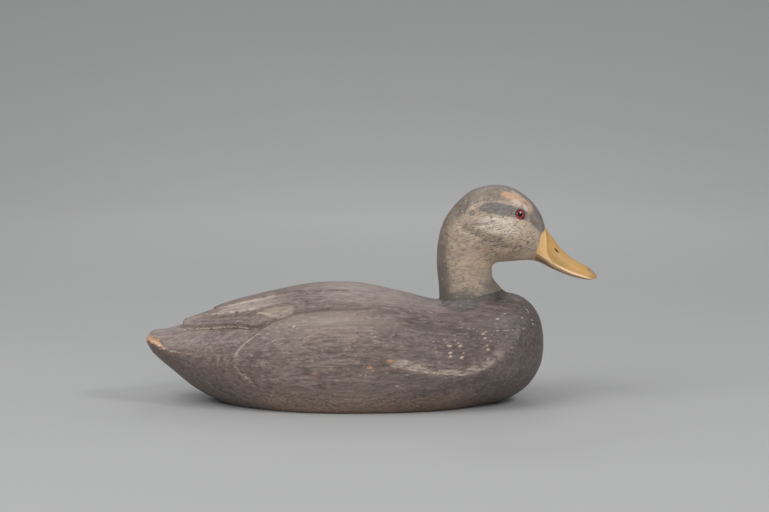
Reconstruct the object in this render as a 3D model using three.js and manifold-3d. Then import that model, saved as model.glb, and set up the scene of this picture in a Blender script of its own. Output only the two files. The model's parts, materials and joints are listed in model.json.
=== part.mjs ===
// A hunter's black duck decoy: a carved and painted wooden body with folded wings in relief, a head
// and bill carved from a second block and seated on the shoulders, and two glass eyes.
// Millimetres. +X runs from the tail to the bill, +Y to the duck's left, +Z up.
// The origin is on the flat bottom, midway between the tail tip and the bill tip.
import * as THREE from "three";
import { mergeVertices } from "three/addons/utils/BufferGeometryUtils.js";
import Module from "manifold-3d";

// Driving dimensions
const OVERALL_LENGTH = 435; // tail tip to bill tip
const BODY_LENGTH = 384; // tail tip to the front of the breast
const TAIL_OVERHANG = 2; // the tail tip reaches this far behind the point that x is counted from
const BODY_HEIGHT = 117; // floor to the highest point of the back
const BEAM = 164; // widest part of the body
const EYE_DIAMETER = 9;
const EYE_STANDS_OUT = 1.6; // how far the glass stands out of the wood
const EYE_PLUG = 3; // how deep the glass reaches into the wood
const GLUE_LINE = 0.3; // between the head and the body, and round each eye

// Depths of the carving
const TAIL_CUT = 3.2; // the tail is cut back under the wing tips and behind the flanks
const FEATHER_STEP = 1.5; // tertials stand above primaries, and the mantle above tertials
const WING_GROOVE = 2.4; // between the wing and the flank
const CHEST_HOLLOW = 5.5; // scooped out between the shoulder and the breast
const BREAST_ROLL = 1.8; // the roll below that hollow
const EYE_CHANNEL = 1.7; // runs back from the bill, past the eye
const CHEEK = 1.5;
const BROW = 0.9;

// How finely the blocks are cut. Rows are counted on one side, from the bottom to the top.
const BODY_RINGS = 60;
const BODY_ROWS = 26;
const HEAD_RINGS = 42;
const HEAD_ROWS = 16;
const COLLAR_RINGS = 8;
const EYE_SIDES = 16;
const EYE_STEPS = 5;

// Colours of the old paint and the glass
const PAINT_BODY = 0x5c524e;
const PAINT_HEAD = 0x8d8272;
const EYE_GLASS = 0x5a1214;

const wasm = await Module();
wasm.setup();

const clamp = (x, low, high) => Math.min(high, Math.max(low, x));
const mix = (a, b, t) => a + (b - a) * t;
const bump = (x, middle, reach) => Math.exp(-(((x - middle) / reach) ** 2));

function smooth(low, high, x) {
  const t = clamp((x - low) / (high - low), 0, 1);
  return t * t * (3 - 2 * t);
}

// A fair curve through [x, y] points, as a batten bends round pins.
function batten(pins) {
  const last = pins.length - 1;
  const slope = pins.map((_, i) => {
    const [x0, y0] = pins[Math.max(i - 1, 0)];
    const [x1, y1] = pins[Math.min(i + 1, last)];
    return (y1 - y0) / (x1 - x0);
  });
  return (x) => {
    const p = clamp(x, pins[0][0], pins[last][0]);
    const i = Math.max(0, pins.findIndex(([pin]) => pin >= p) - 1);
    const [[x0, y0], [x1, y1]] = [pins[i], pins[i + 1]];
    const h = x1 - x0;
    const t = (p - x0) / h;
    const start = y0 * (1 + 2 * t) * (1 - t) ** 2 + slope[i] * h * t * (1 - t) ** 2;
    const end = y1 * t * t * (3 - 2 * t) + slope[i + 1] * h * t * t * (t - 1);
    return start + end;
  };
}

// Turn goes up one side of a section, from -1 at the bottom through 0 at its widest to 1 at the top.
// Fullness is 2 on a round section, less on a roof-like one and more on a square one.
function roundSection(turn, fullAbove, fullBelow) {
  const angle = (turn * Math.PI) / 2;
  const power = 2 / (turn > 0 ? fullAbove : fullBelow);
  const out = Math.abs(turn) === 1 ? 0 : Math.cos(angle) ** power;
  return { out, up: Math.sign(turn) * Math.abs(Math.sin(angle)) ** power };
}

// How much of the full section is left this far from the end of a block with rounded ends.
function roundedEnd(away, length, full) {
  return (1 - clamp(1 - away / length, 0, 1) ** full) ** (1 / full);
}

// The direction out of a block's right side.
function outward(surface, station, turn) {
  const step = 0.01;
  const along = surface(station + step, turn).sub(surface(station - step, turn));
  const up = surface(station, Math.min(turn + step, 1));
  return along.cross(up.sub(surface(station, Math.max(turn - step, -1)))).normalize();
}

// A block's surface after its relief is left proud or cut away.
function carved(surface, relief) {
  return (station, turn) => {
    const depth = relief(station, turn);
    return surface(station, turn).addScaledVector(outward(surface, station, turn), depth);
  };
}

// A three.js shape with its shared corners joined, so that it closes.
function closed(geometry) {
  geometry.deleteAttribute("normal");
  geometry.deleteAttribute("uv");
  return mergeVertices(geometry, 1e-6);
}

// A ball with its poles fore and aft, whose rings become the sections of a block. pointAt gives the
// point for a ring, counted from aft, and a row, counted from the bottom up the right side.
function blockOf(rings, rows, pointAt) {
  const ball = closed(new THREE.SphereGeometry(1, 2 * rows, rings).rotateZ(-Math.PI / 2));
  const position = ball.getAttribute("position");
  for (let i = 0; i < position.count; i++) {
    const spot = new THREE.Vector3().fromBufferAttribute(position, i);
    const ring = Math.round((Math.acos(clamp(-spot.x, -1, 1)) / Math.PI) * rings);
    const row = Math.round((0.5 + Math.atan2(spot.z, Math.abs(spot.y)) / Math.PI) * rows);
    const onMiddle = row === 0 || row === rows;
    const p = pointAt(ring, row);
    position.setXYZ(i, p.x, onMiddle ? 0 : -p.y * Math.sign(spot.y), p.z);
  }
  return ball;
}

function solid(geometry) {
  const vertProperties = Float32Array.from(geometry.getAttribute("position").array);
  const triVerts = Uint32Array.from(geometry.index.array);
  return new wasm.Manifold(new wasm.Mesh({ numProp: 3, vertProperties, triVerts }));
}

function geometryOf(manifold) {
  const mesh = manifold.getMesh();
  const geometry = new THREE.BufferGeometry();
  geometry.setAttribute("position", new THREE.BufferAttribute(mesh.vertProperties, 3));
  geometry.setIndex(new THREE.BufferAttribute(mesh.triVerts, 1));
  return geometry;
}

// BODY
// Its lines, as a boatbuilder lists them. Stations are shares of the length, heights shares of the
// body's height and half widths shares of the beam. The keel lies below the floor where the bottom
// is planed flat.
const BODY_LINES = [
  { at: 0.0, back: 0.57, waist: 0.53, keel: 0.455, half: 0.175, above: 1.6, below: 1.5 },
  { at: 0.07, back: 0.65, waist: 0.46, keel: 0.25, half: 0.2, above: 1.65, below: 1.6 },
  { at: 0.13, back: 0.708, waist: 0.43, keel: 0.098, half: 0.262, above: 1.75, below: 1.75 },
  { at: 0.21, back: 0.802, waist: 0.4, keel: -0.03, half: 0.355, above: 1.9, below: 1.9 },
  { at: 0.31, back: 0.886, waist: 0.38, keel: -0.13, half: 0.435, above: 2.0, below: 2.05 },
  { at: 0.42, back: 0.961, waist: 0.37, keel: -0.19, half: 0.485, above: 2.05, below: 2.2 },
  { at: 0.53, back: 0.978, waist: 0.37, keel: -0.2, half: 0.5, above: 2.1, below: 2.2 },
  { at: 0.64, back: 0.912, waist: 0.37, keel: -0.18, half: 0.49, above: 2.15, below: 2.15 },
  { at: 0.74, back: 0.837, waist: 0.38, keel: -0.13, half: 0.455, above: 2.25, below: 2.1 },
  { at: 0.84, back: 0.893, waist: 0.41, keel: -0.04, half: 0.395, above: 2.3, below: 1.95 },
  { at: 0.92, back: 0.906, waist: 0.43, keel: 0.02, half: 0.325, above: 2.3, below: 1.85 },
  { at: 1.0, back: 0.9, waist: 0.44, keel: 0.06, half: 0.27, above: 2.2, below: 1.8 },
];
const TAIL_END = { height: 0.515 * BODY_HEIGHT, plan: 22, side: 8, full: 2, fullAbove: 2 };
const BREAST_END = { height: 0.46 * BODY_HEIGHT, plan: 47, side: 47, full: 2.2, fullAbove: 2.6 };
const BREAST_FRONT = BODY_LENGTH - TAIL_OVERHANG;

const bodyLine = (name, size) =>
  batten(BODY_LINES.map((s) => [s.at * BODY_LENGTH - TAIL_OVERHANG, s[name] * size]));
const backLine = bodyLine("back", BODY_HEIGHT);
const waistLine = bodyLine("waist", BODY_HEIGHT);
const keelLine = bodyLine("keel", BODY_HEIGHT);
const halfBeam = bodyLine("half", BEAM);
const bodyAbove = bodyLine("above", 1);
const bodyBelow = bodyLine("below", 1);

// The section at x, drawn in towards one point at the tail tip and at the front of the breast.
function bodySection(x) {
  const behind = x + TAIL_OVERHANG;
  const ahead = BREAST_FRONT - x;
  const drawn = (z, full) => {
    const tail = roundedEnd(behind, TAIL_END.side, TAIL_END[full]);
    const breast = roundedEnd(ahead, BREAST_END.side, BREAST_END[full]);
    return mix(BREAST_END.height, mix(TAIL_END.height, z, tail), breast);
  };
  const tailPlan = roundedEnd(behind, TAIL_END.plan, TAIL_END.full);
  const breastPlan = roundedEnd(ahead, BREAST_END.plan, BREAST_END.full);
  return {
    back: drawn(backLine(x), "fullAbove"),
    waist: drawn(waistLine(x), "full"),
    keel: drawn(keelLine(x), "full"),
    half: halfBeam(x) * tailPlan * breastPlan,
  };
}

// The right side of the plain block, which is at negative Y.
function plainBody(x, turn) {
  const s = bodySection(x);
  const p = roundSection(turn, bodyAbove(x), bodyBelow(x));
  const height = turn > 0 ? s.back - s.waist : s.waist - s.keel;
  return new THREE.Vector3(x, -s.half * p.out, s.waist + height * p.up);
}

// Knife lines on the side of the body. Most give a turn for each x, the flank's rear edge the reverse.
const WING_TIP = 34;
const MANTLE_TIP = 65;
const wingEdge = batten([
  [34, 0.76], [38, 0.7], [44, 0.65], [52, 0.612], [62, 0.568], [72, 0.54], [83, 0.517],
  [92, 0.492], [101, 0.462], [109, 0.455], [117, 0.482], [132, 0.535], [142, 0.562],
  [151, 0.568], [175, 0.57], [200, 0.555], [225, 0.55], [260, 0.57],
]);
const tertialEdge = batten([
  [34, 0.8], [54, 0.87], [60, 0.8], [76, 0.71], [90, 0.685], [110, 0.67], [132, 0.67], [150, 0.65],
]);
const innerEdge = batten([[34, 0.86], [50, 0.92], [65, 0.965]]);
const mantleEdge = batten([
  [65, 0.965], [77, 0.885], [95, 0.85], [130, 0.84], [160, 0.81], [216, 0.79], [250, 0.81],
]);
const breastRoll = batten([
  [225, 0.1], [242, 0.03], [271, -0.03], [303, -0.1], [323, -0.085], [340, 0], [351, 0.1], [356, 0.24],
]);
const flankRear = batten([
  [-0.3, 112], [-0.165, 100], [-0.04, 86], [0.06, 85.5], [0.2, 91], [0.32, 103], [0.45, 122],
]);

function bodyRelief(x, turn) {
  const { half, back, waist } = bodySection(x);
  const quarter = (Math.PI / 2) * Math.hypot(half, back - waist) * Math.SQRT1_2;
  const above = (edge) => (turn - edge(x)) * quarter;
  const knife = (edge) => smooth(-0.5, 0.5, above(edge));
  const notch = x < MANTLE_TIP ? knife(innerEdge) : 0;
  const wing = smooth(WING_TIP - 1, WING_TIP + 1, x) * knife(wingEdge) * (1 - notch);
  const flank = smooth(-3, 5, x - flankRear(turn)) * (1 - knife(wingEdge));
  const towardsTail = (1 - smooth(98, 122, x)) * smooth(4, 20, x);
  const tail = TAIL_CUT * towardsTail * smooth(-0.3, 0.05, turn) * (1 - wing) * (1 - flank);
  const shoulderFade = 1 - smooth(150, 250, x);
  const tertial = wing * knife(tertialEdge) * (1 - smooth(120, 200, x));
  const mantle = x < MANTLE_TIP ? 0 : knife(mantleEdge) * shoulderFade;
  const groove = WING_GROOVE * bump(above(wingEdge), -1.5, 4) * smooth(98, 112, x) * shoulderFade;
  const hollow = CHEST_HOLLOW * bump(x, 284, 50) * bump(turn, 0.3, 0.24);
  const rollFade = smooth(215, 250, x) * (1 - smooth(352, 374, x));
  const roll = BREAST_ROLL * bump(above(breastRoll), 0, 9) * rollFade;
  return FEATHER_STEP * (tertial + mantle) + roll - tail - groove - hollow;
}

const carvedBody = carved(plainBody, bodyRelief);

// Rows run along the knife lines, in a pair half a millimetre to each side of each line.
function bodyTurn(x, row) {
  const beside = 0.5 / halfBeam(x);
  const upper = x < MANTLE_TIP ? innerEdge(x) : mantleEdge(x);
  const wing = Math.min(wingEdge(x), upper - 7 * beside);
  const tertial = clamp(tertialEdge(x), wing + 2.5 * beside, upper - 2.5 * beside);
  const rails = [
    [0, -1], [9, 0], [16, wing - beside], [17, wing + beside], [19, tertial - beside],
    [20, tertial + beside], [21, upper - beside], [22, upper + beside], [BODY_ROWS, 1],
  ];
  const next = Math.max(1, rails.findIndex(([rail]) => rail >= row));
  const [[r0, t0], [r1, t1]] = [rails[next - 1], rails[next]];
  return clamp(mix(t0, t1, (row - r0) / (r1 - r0)), -1, 1);
}

function bodyBlock() {
  return blockOf(BODY_RINGS, BODY_ROWS, (ring, row) => {
    if (ring === 0) return new THREE.Vector3(-TAIL_OVERHANG, 0, TAIL_END.height);
    if (ring === BODY_RINGS) return new THREE.Vector3(BREAST_FRONT, 0, BREAST_END.height);
    const even = ring / BODY_RINGS;
    const closerAtEnds = (1 - Math.cos(Math.PI * even)) / 2;
    const x = BODY_LENGTH * mix(even, closerAtEnds, 0.7) - TAIL_OVERHANG;
    return carvedBody(x, bodyTurn(x, row));
  });
}

// HEAD
// Sections from the seat on the shoulders to the tip of the bill, whose place in this list is u. Each
// lies in the plane through its over and under points, which are [x, z].
const HEAD_LINES = [
  { over: [281.4, 100.2], under: [341, 110.2], half: 29, widest: 0.5, above: 2.1, below: 2.1 },
  { over: [280.5, 117], under: [333, 119.5], half: 24.5, widest: 0.5, above: 2.1, below: 2.1 },
  { over: [278.8, 136], under: [331.8, 127.5], half: 23, widest: 0.5, above: 2.1, below: 2.1 },
  { over: [279.9, 155], under: [332.2, 131.6], half: 23.5, widest: 0.5, above: 2.1, below: 2.1 },
  { over: [285.6, 175.6], under: [334.7, 134.4], half: 25.5, widest: 0.52, above: 2.1, below: 2.1 },
  { over: [297.7, 192.3], under: [339.1, 135.8], half: 26.5, widest: 0.5, above: 2.15, below: 2.1 },
  { over: [313.1, 205.2], under: [345, 136.2], half: 27, widest: 0.46, above: 2.2, below: 2.1 },
  { over: [332.6, 210], under: [352, 136.8], half: 26.8, widest: 0.42, above: 2.2, below: 2.1 },
  { over: [351.7, 206.8], under: [360.5, 137.4], half: 24.5, widest: 0.42, above: 2.15, below: 2.05 },
  { over: [367.9, 196], under: [368, 137.4], half: 20, widest: 0.42, above: 2.1, below: 2 },
  { over: [378.5, 182], under: [375.5, 135.8], half: 15, widest: 0.38, above: 2, below: 2.1 },
  { over: [383, 169.5], under: [382, 133], half: 11.5, widest: 0.28, above: 1.7, below: 2.6 },
  { over: [390.6, 158.5], under: [389, 129.8], half: 11, widest: 0.18, above: 1.5, below: 3 },
  { over: [399.4, 147.5], under: [399, 125.6], half: 11.6, widest: 0.14, above: 1.55, below: 3 },
  { over: [410.3, 138.2], under: [410.5, 121.6], half: 12.6, widest: 0.14, above: 1.75, below: 2.8 },
  { over: [423.6, 131.4], under: [422.5, 119.2], half: 12.8, widest: 0.18, above: 1.9, below: 2.6 },
  { over: [433, 126], under: [433, 118.4], half: 12.6, widest: 0.3, above: 2, below: 2.2 },
];
const BILL_TIP = HEAD_LINES.length - 1;
const BILL_END = { height: 121, length: 1.35, full: 2.1 };

const headLine = (pick) => batten(HEAD_LINES.map((s, i) => [i, pick(s)]));
const overX = headLine((s) => s.over[0]);
const overZ = headLine((s) => s.over[1]);
const underX = headLine((s) => s.under[0]);
const underZ = headLine((s) => s.under[1]);
const headHalf = headLine((s) => s.half);
const headWidest = headLine((s) => s.widest);
const headAbove = headLine((s) => s.above);
const headBelow = headLine((s) => s.below);

function plainHead(u, turn) {
  const left = roundedEnd(BILL_TIP - u, BILL_END.length, BILL_END.full);
  const p = roundSection(turn, headAbove(u), headBelow(u));
  const widest = headWidest(u);
  const share = widest + p.up * (turn > 0 ? 1 - widest : widest);
  const x = mix(underX(u), overX(u), share);
  const z = mix(BILL_END.height, mix(underZ(u), overZ(u), share), left);
  return new THREE.Vector3(x, -headHalf(u) * left * p.out, z);
}

function headRelief(u, turn) {
  const face = smooth(4.8, 6.6, u) * (1 - smooth(9.6, 11, u));
  const channel = EYE_CHANNEL * bump(turn, 0.22 + 0.035 * (u - 6), 0.17);
  const cheek = CHEEK * bump(u, 7.9, 1.3) * bump(turn, -0.12, 0.2);
  const brow = BROW * bump(u, 8.2, 1.2) * bump(turn, 0.58, 0.16);
  return face * (cheek + brow - channel);
}

const carvedHead = carved(plainHead, headRelief);
const headTurn = (row) => -1 + (2 * row) / HEAD_ROWS;
const seatMiddle = plainHead(0, 1).add(plainHead(0, -1)).multiplyScalar(0.5);

function headBlock() {
  return blockOf(HEAD_RINGS, HEAD_ROWS, (ring, row) => {
    if (ring === 0) return seatMiddle;
    if (ring === HEAD_RINGS) return plainHead(BILL_TIP, 0);
    const even = (ring - 1) / (HEAD_RINGS - 1);
    const closerAtTip = 1 - (1 - even) ** 1.25;
    return carvedHead(BILL_TIP * closerAtTip, headTurn(row));
  });
}

// The raised collar on the shoulders that carries the head. Its flat top is the seat, and its side is
// a hollow curve that runs out into the body.
const COLLAR = { flare: 0.42, fall: 13, root: 24 };

function collarBlock() {
  const seatUp = plainHead(0, -1).sub(plainHead(0, 1)).cross(new THREE.Vector3(0, 1, 0)).normalize();
  const ringAt = (fall, spread, row) => {
    const out = plainHead(0, headTurn(row)).sub(seatMiddle).multiplyScalar(spread);
    return out.add(seatMiddle).addScaledVector(seatUp, -GLUE_LINE - fall);
  };
  return blockOf(COLLAR_RINGS, HEAD_ROWS, (ring, row) => {
    if (ring === 0) return ringAt(COLLAR.root, 0, row);
    if (ring === 1) return ringAt(COLLAR.root, 1, row);
    if (ring === COLLAR_RINGS) return ringAt(0, 0, row);
    const share = (COLLAR_RINGS - 1 - ring) / (COLLAR_RINGS - 3);
    const spread = 1 + COLLAR.flare * (1 - Math.sqrt(1 - share ** 2));
    return ringAt(COLLAR.fall * share, spread, row);
  });
}

// EYES AND NOSTRILS
// A glass eye is a low dome on a short round plug, and its socket follows the plug.
const EYE_AT = { u: 8.28, turn: 0.29 };
const NOSTRIL_AT = { u: 12.4, turn: 0.55 };
const NOSTRIL = { long: 2.9, deep: 1.2, high: 0.9 };

function turned(profile) {
  return closed(new THREE.LatheGeometry(profile.map(([r, y]) => new THREE.Vector2(r, y)), EYE_SIDES));
}

function eyeGlass() {
  const radius = EYE_DIAMETER / 2;
  const dome = Array.from({ length: EYE_STEPS }, (_, i) => {
    const angle = (Math.PI / 2) * (i / EYE_STEPS);
    return [radius * Math.cos(angle), EYE_STANDS_OUT * Math.sin(angle)];
  });
  return turned([[0, -EYE_PLUG], [radius, -EYE_PLUG], ...dome, [0, EYE_STANDS_OUT]]);
}

function eyeSocket() {
  const radius = EYE_DIAMETER / 2 + GLUE_LINE;
  const bottom = -EYE_PLUG - GLUE_LINE;
  return turned([[0, bottom], [radius, bottom], [radius, EYE_DIAMETER], [0, EYE_DIAMETER]]);
}

function nostrilSlit() {
  const slit = new THREE.SphereGeometry(1, EYE_SIDES / 2, EYE_STEPS);
  return closed(slit.scale(NOSTRIL.long, NOSTRIL.deep, NOSTRIL.high));
}

// Sets a shape into one side of the head, with its Y axis out of the wood and its X axis along it.
function setInHead(geometry, at, side) {
  const place = carvedHead(at.u, at.turn);
  const out = outward(plainHead, at.u, at.turn);
  const ahead = plainHead(at.u + 0.1, at.turn).sub(plainHead(at.u - 0.1, at.turn)).normalize();
  for (const v of [place, out, ahead]) v.y *= side;
  const basis = new THREE.Matrix4().makeBasis(ahead, out, ahead.clone().cross(out)).setPosition(place);
  return geometry.applyMatrix4(basis);
}

function belowFloor() {
  const slab = new THREE.BoxGeometry(2 * BODY_LENGTH, 2 * BEAM, BODY_HEIGHT);
  return closed(slab.translate(BODY_LENGTH / 2, 0, -BODY_HEIGHT / 2));
}

// ASSEMBLY
const SIDES = { right: 1, left: -1 };
const decoy = new THREE.Group();
decoy.position.x = TAIL_OVERHANG - OVERALL_LENGTH / 2;

function addPiece(name, geometry, color, roughness) {
  const mesh = new THREE.Mesh(geometry, new THREE.MeshStandardMaterial({ color, roughness, metalness: 0 }));
  mesh.name = name;
  decoy.add(mesh);
}

const bodySolid = solid(bodyBlock()).add(solid(collarBlock())).subtract(solid(belowFloor()));
addPiece("body", geometryOf(bodySolid), PAINT_BODY, 0.7);

let headSolid = solid(headBlock());
for (const side of Object.values(SIDES)) {
  headSolid = headSolid.subtract(solid(setInHead(eyeSocket(), EYE_AT, side)));
  headSolid = headSolid.subtract(solid(setInHead(nostrilSlit(), NOSTRIL_AT, side)));
}
addPiece("head", geometryOf(headSolid), PAINT_HEAD, 0.7);

for (const [name, side] of Object.entries(SIDES)) {
  addPiece(`eye_${name}`, setInHead(eyeGlass(), EYE_AT, side), EYE_GLASS, 0.1);
}

export default decoy;
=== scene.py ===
# %% [markdown]
# # A carved and painted black duck decoy
# The real object is a hunter's decoy: a body block of light softwood with folded wings carved in
# low relief, a head and bill carved from a second block and seated on the shoulders, and two
# glass eyes. All of it was painted by hand and has worn for decades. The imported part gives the
# sizes and places. This lesson carves finer copies of its blocks and gives them their old paint.

import json
import math

import bmesh
import bpy
import numpy as np
from mathutils import Matrix, Vector, noise

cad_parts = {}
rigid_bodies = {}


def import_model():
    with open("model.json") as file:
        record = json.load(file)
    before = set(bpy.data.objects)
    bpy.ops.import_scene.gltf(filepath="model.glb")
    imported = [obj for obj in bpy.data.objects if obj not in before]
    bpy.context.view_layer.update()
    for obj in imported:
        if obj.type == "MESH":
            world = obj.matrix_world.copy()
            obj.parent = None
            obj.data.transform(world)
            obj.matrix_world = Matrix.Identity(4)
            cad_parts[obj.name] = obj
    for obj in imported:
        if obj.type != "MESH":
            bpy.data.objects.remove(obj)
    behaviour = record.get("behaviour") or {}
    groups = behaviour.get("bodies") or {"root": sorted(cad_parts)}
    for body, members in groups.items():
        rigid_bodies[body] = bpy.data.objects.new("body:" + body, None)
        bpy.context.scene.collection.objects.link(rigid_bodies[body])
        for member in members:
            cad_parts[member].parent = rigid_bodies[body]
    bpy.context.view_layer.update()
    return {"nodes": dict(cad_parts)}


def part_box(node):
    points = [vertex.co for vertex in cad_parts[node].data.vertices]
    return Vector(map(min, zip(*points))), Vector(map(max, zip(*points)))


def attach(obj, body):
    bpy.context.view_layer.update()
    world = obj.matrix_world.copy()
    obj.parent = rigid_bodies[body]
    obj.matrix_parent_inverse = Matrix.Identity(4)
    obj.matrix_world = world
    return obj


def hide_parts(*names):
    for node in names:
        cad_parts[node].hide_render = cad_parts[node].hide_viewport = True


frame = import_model()
MM = 0.001
print("nodes of the part:", sorted(frame["nodes"]))

# %% [markdown]
# ## Driving dimensions
# A carver starts from a few sizes and draws everything else as shares of them. The lengths come
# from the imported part. As in a boatbuilder's drawing, all carving sizes below are in millimetres,
# z is counted up from the floor, and x forward from a line that the tail tip overhangs by 2 mm.

# %% Driving dimensions
body_low, body_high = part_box("body")
head_low, head_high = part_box("head")
BODY_LENGTH = (body_high.x - body_low.x) / MM
OVERALL_LENGTH = (head_high.x - body_low.x) / MM
TAIL_OVERHANG = 2.0
BODY_HEIGHT = 117.0
BEAM = 164.0
GLUE_LINE = 0.3
print(f"body {BODY_LENGTH:.1f} mm of {OVERALL_LENGTH:.1f} mm over all, {BEAM:.0f} mm in the beam")

# %% [markdown]
# ## Camera
# The photograph was taken with a long lens from a little above the back, square to the right
# side. A 90 mm lens, 6.5 degrees of tilt and 1.85 m of distance give its framing with no lens
# shift.

# %% Camera
LENS = 90.0
TILT_DOWN = math.radians(6.5)
DISTANCE = 1.852
LOOK_AT = Vector((0.0129, 0, 0.1413))


def aimed(thing, target):
    """Turns a camera or lamp towards a point."""
    thing.rotation_euler = (target - thing.location).to_track_quat("-Z", "Y").to_euler()


camera = bpy.data.objects.new("camera", bpy.data.cameras.new("camera"))
camera.data.lens = LENS
camera.location = LOOK_AT + DISTANCE * Vector((0, -math.cos(TILT_DOWN), math.sin(TILT_DOWN)))
aimed(camera, LOOK_AT)
bpy.context.collection.objects.link(camera)
bpy.context.scene.camera = camera
bpy.context.scene.view_settings.view_transform = "Standard"
print("camera at", [round(c, 3) for c in camera.location])

# %% [markdown]
# ## Studio
# The decoy stands on seamless grey paper. A floor with a wall swept up all round it looks the
# same from every side. Its profile is a few points spun round the upright axis, so one bmesh spin
# makes it.

# %% Seamless floor
FLOOR_RADIUS = 2.2
SWEEP_RADIUS = 3.2
WALL_TOP = 1.7


def object_of(shape, name):
    """A finished bmesh as an object of the scene."""
    mesh = bpy.data.meshes.new(name)
    shape.to_mesh(mesh)
    shape.free()
    made = bpy.data.objects.new(name, mesh)
    bpy.context.collection.objects.link(made)
    return made


def spun(profile, steps):
    """A profile of (radius, height) points turned round the Z axis."""
    shape = bmesh.new()
    points = [shape.verts.new((r, 0, z)) for r, z in profile]
    edges = [shape.edges.new(pair) for pair in zip(points, points[1:])]
    bmesh.ops.spin(
        shape, geom=points + edges, axis=(0, 0, 1), cent=(0, 0, 0), steps=steps,
        angle=math.tau, use_merge=True,
    )
    bmesh.ops.remove_doubles(shape, verts=shape.verts, dist=1e-7)
    bmesh.ops.recalc_face_normals(shape, faces=shape.faces)
    return shape


sweep = [
    (FLOOR_RADIUS + SWEEP_RADIUS * math.sin(a), SWEEP_RADIUS * (1 - math.cos(a)))
    for a in np.linspace(0, math.acos(1 - WALL_TOP / SWEEP_RADIUS), 24)
]
floor = object_of(spun([(0, 0), *sweep], 96), "floor")
floor.data.shade_smooth()
print("floor faces:", len(floor.data.polygons))

# %% [markdown]
# ## Lights
# A broad soft box on the left makes the back bright and lets the underside fall off gently. A
# small one on the right puts the glint into the glass eye, a weak one in front opens the shadows,
# and one behind brightens the wall. A large flat lamp is the simplest soft box. Only the front
# one is hidden from reflections, because it would lie across the whole eye. A dim grey sky fills
# in the rest.

# %% Lights
SKY_COLOUR = (0.98, 0.99, 1.0, 1)
SKY_STRENGTH = 0.5


def soft_box(name, place, size, power, target=(0, 0, 0.08), in_glass=True):
    """A square lamp that doesn't show itself, aimed at the decoy unless told otherwise."""
    lamp = bpy.data.lights.new(name, "AREA")
    lamp.shape = "SQUARE"
    lamp.size = size
    lamp.energy = power
    made = bpy.data.objects.new(name, lamp)
    made.location = place
    made.visible_camera = False
    made.visible_glossy = in_glass
    aimed(made, Vector(target))
    bpy.context.collection.objects.link(made)
    return made


soft_box("soft_box_left", (-0.95, -0.75, 1.5), 1.1, 13)
soft_box("soft_box_right", (1.2, -0.85, 1.38), 0.35, 8)
soft_box("soft_box_front", (0.3, -2.0, 0.7), 1.0, 8, in_glass=False)
soft_box("wall_light", (0.05, 1.9, 1.6), 0.6, 9.5, target=(0.05, 2.4, 0.0))
sky = bpy.data.worlds.new("sky")
sky.use_nodes = True
sky.node_tree.nodes["Background"].inputs["Color"].default_value = SKY_COLOUR
sky.node_tree.nodes["Background"].inputs["Strength"].default_value = SKY_STRENGTH
bpy.context.scene.world = sky

# %% [markdown]
# ## Fair curves
# Every outline of the decoy is a fair curve through a few measured points, as a thin batten bends
# round pins. numpy works such a curve out for all the points of a block at once. `smooth` and
# `bump` are the soft step and the soft ridge that the relief is cut with.

# %% Fair curves


def mix(a, b, share):
    return a + (b - a) * share


def smooth(low, high, x):
    share = np.clip((x - low) / (high - low), 0, 1)
    return share * share * (3 - 2 * share)


def bump(x, middle, reach):
    return np.exp(-(((x - middle) / reach) ** 2))


def batten(pins):
    """A fair curve through (x, y) pins."""
    at, value = np.array(pins, float).T
    behind = np.maximum(np.arange(len(at)) - 1, 0)
    ahead = np.minimum(np.arange(len(at)) + 1, len(at) - 1)
    slope = (value[ahead] - value[behind]) / (at[ahead] - at[behind])

    def curve(x):
        p = np.clip(x, at[0], at[-1])
        i = np.clip(np.searchsorted(at, p, side="right") - 1, 0, len(at) - 2)
        h = at[i + 1] - at[i]
        t = (p - at[i]) / h
        start = value[i] * (1 + 2 * t) * (1 - t) ** 2 + slope[i] * h * t * (1 - t) ** 2
        end = value[i + 1] * t * t * (3 - 2 * t) + slope[i + 1] * h * t * t * (t - 1)
        return start + end

    return curve


def rounded_end(away, length, full):
    """How much of the full section is left this far from a rounded end."""
    return (1 - np.clip(1 - away / length, 0, 1) ** full) ** (1 / full)


def round_section(turn, full_above, full_below):
    """Turn is -1 at the bottom, 0 at the widest and 1 at the top. Gives the shares out and up."""
    angle = turn * math.pi / 2
    power = 2 / np.where(turn > 0, full_above, full_below)
    out = np.where(np.abs(turn) >= 1, 0, np.abs(np.cos(angle)) ** power)
    return out, np.sign(turn) * np.abs(np.sin(angle)) ** power


def outward(surface, station, turn):
    """The direction out of a block's right side."""
    step = 0.01
    along = surface(station + step, turn) - surface(station - step, turn)
    higher, lower = np.minimum(turn + step, 1), np.maximum(turn - step, -1)
    up = surface(station, higher) - surface(station, lower)
    out = np.cross(along, up)
    return out / np.maximum(np.linalg.norm(out, axis=-1, keepdims=True), 1e-12)


print("a batten through three pins, halfway:", float(batten([(0, 0), (1, 1), (2, 0)])(1.5)))

# %% [markdown]
# ## The body's lines
# These are the heights, half widths and fullness of the body block at a dozen stations, the same
# as in the part. Fullness is 2 for a round section, less for a roof-like one and more for a
# square one.

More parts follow.
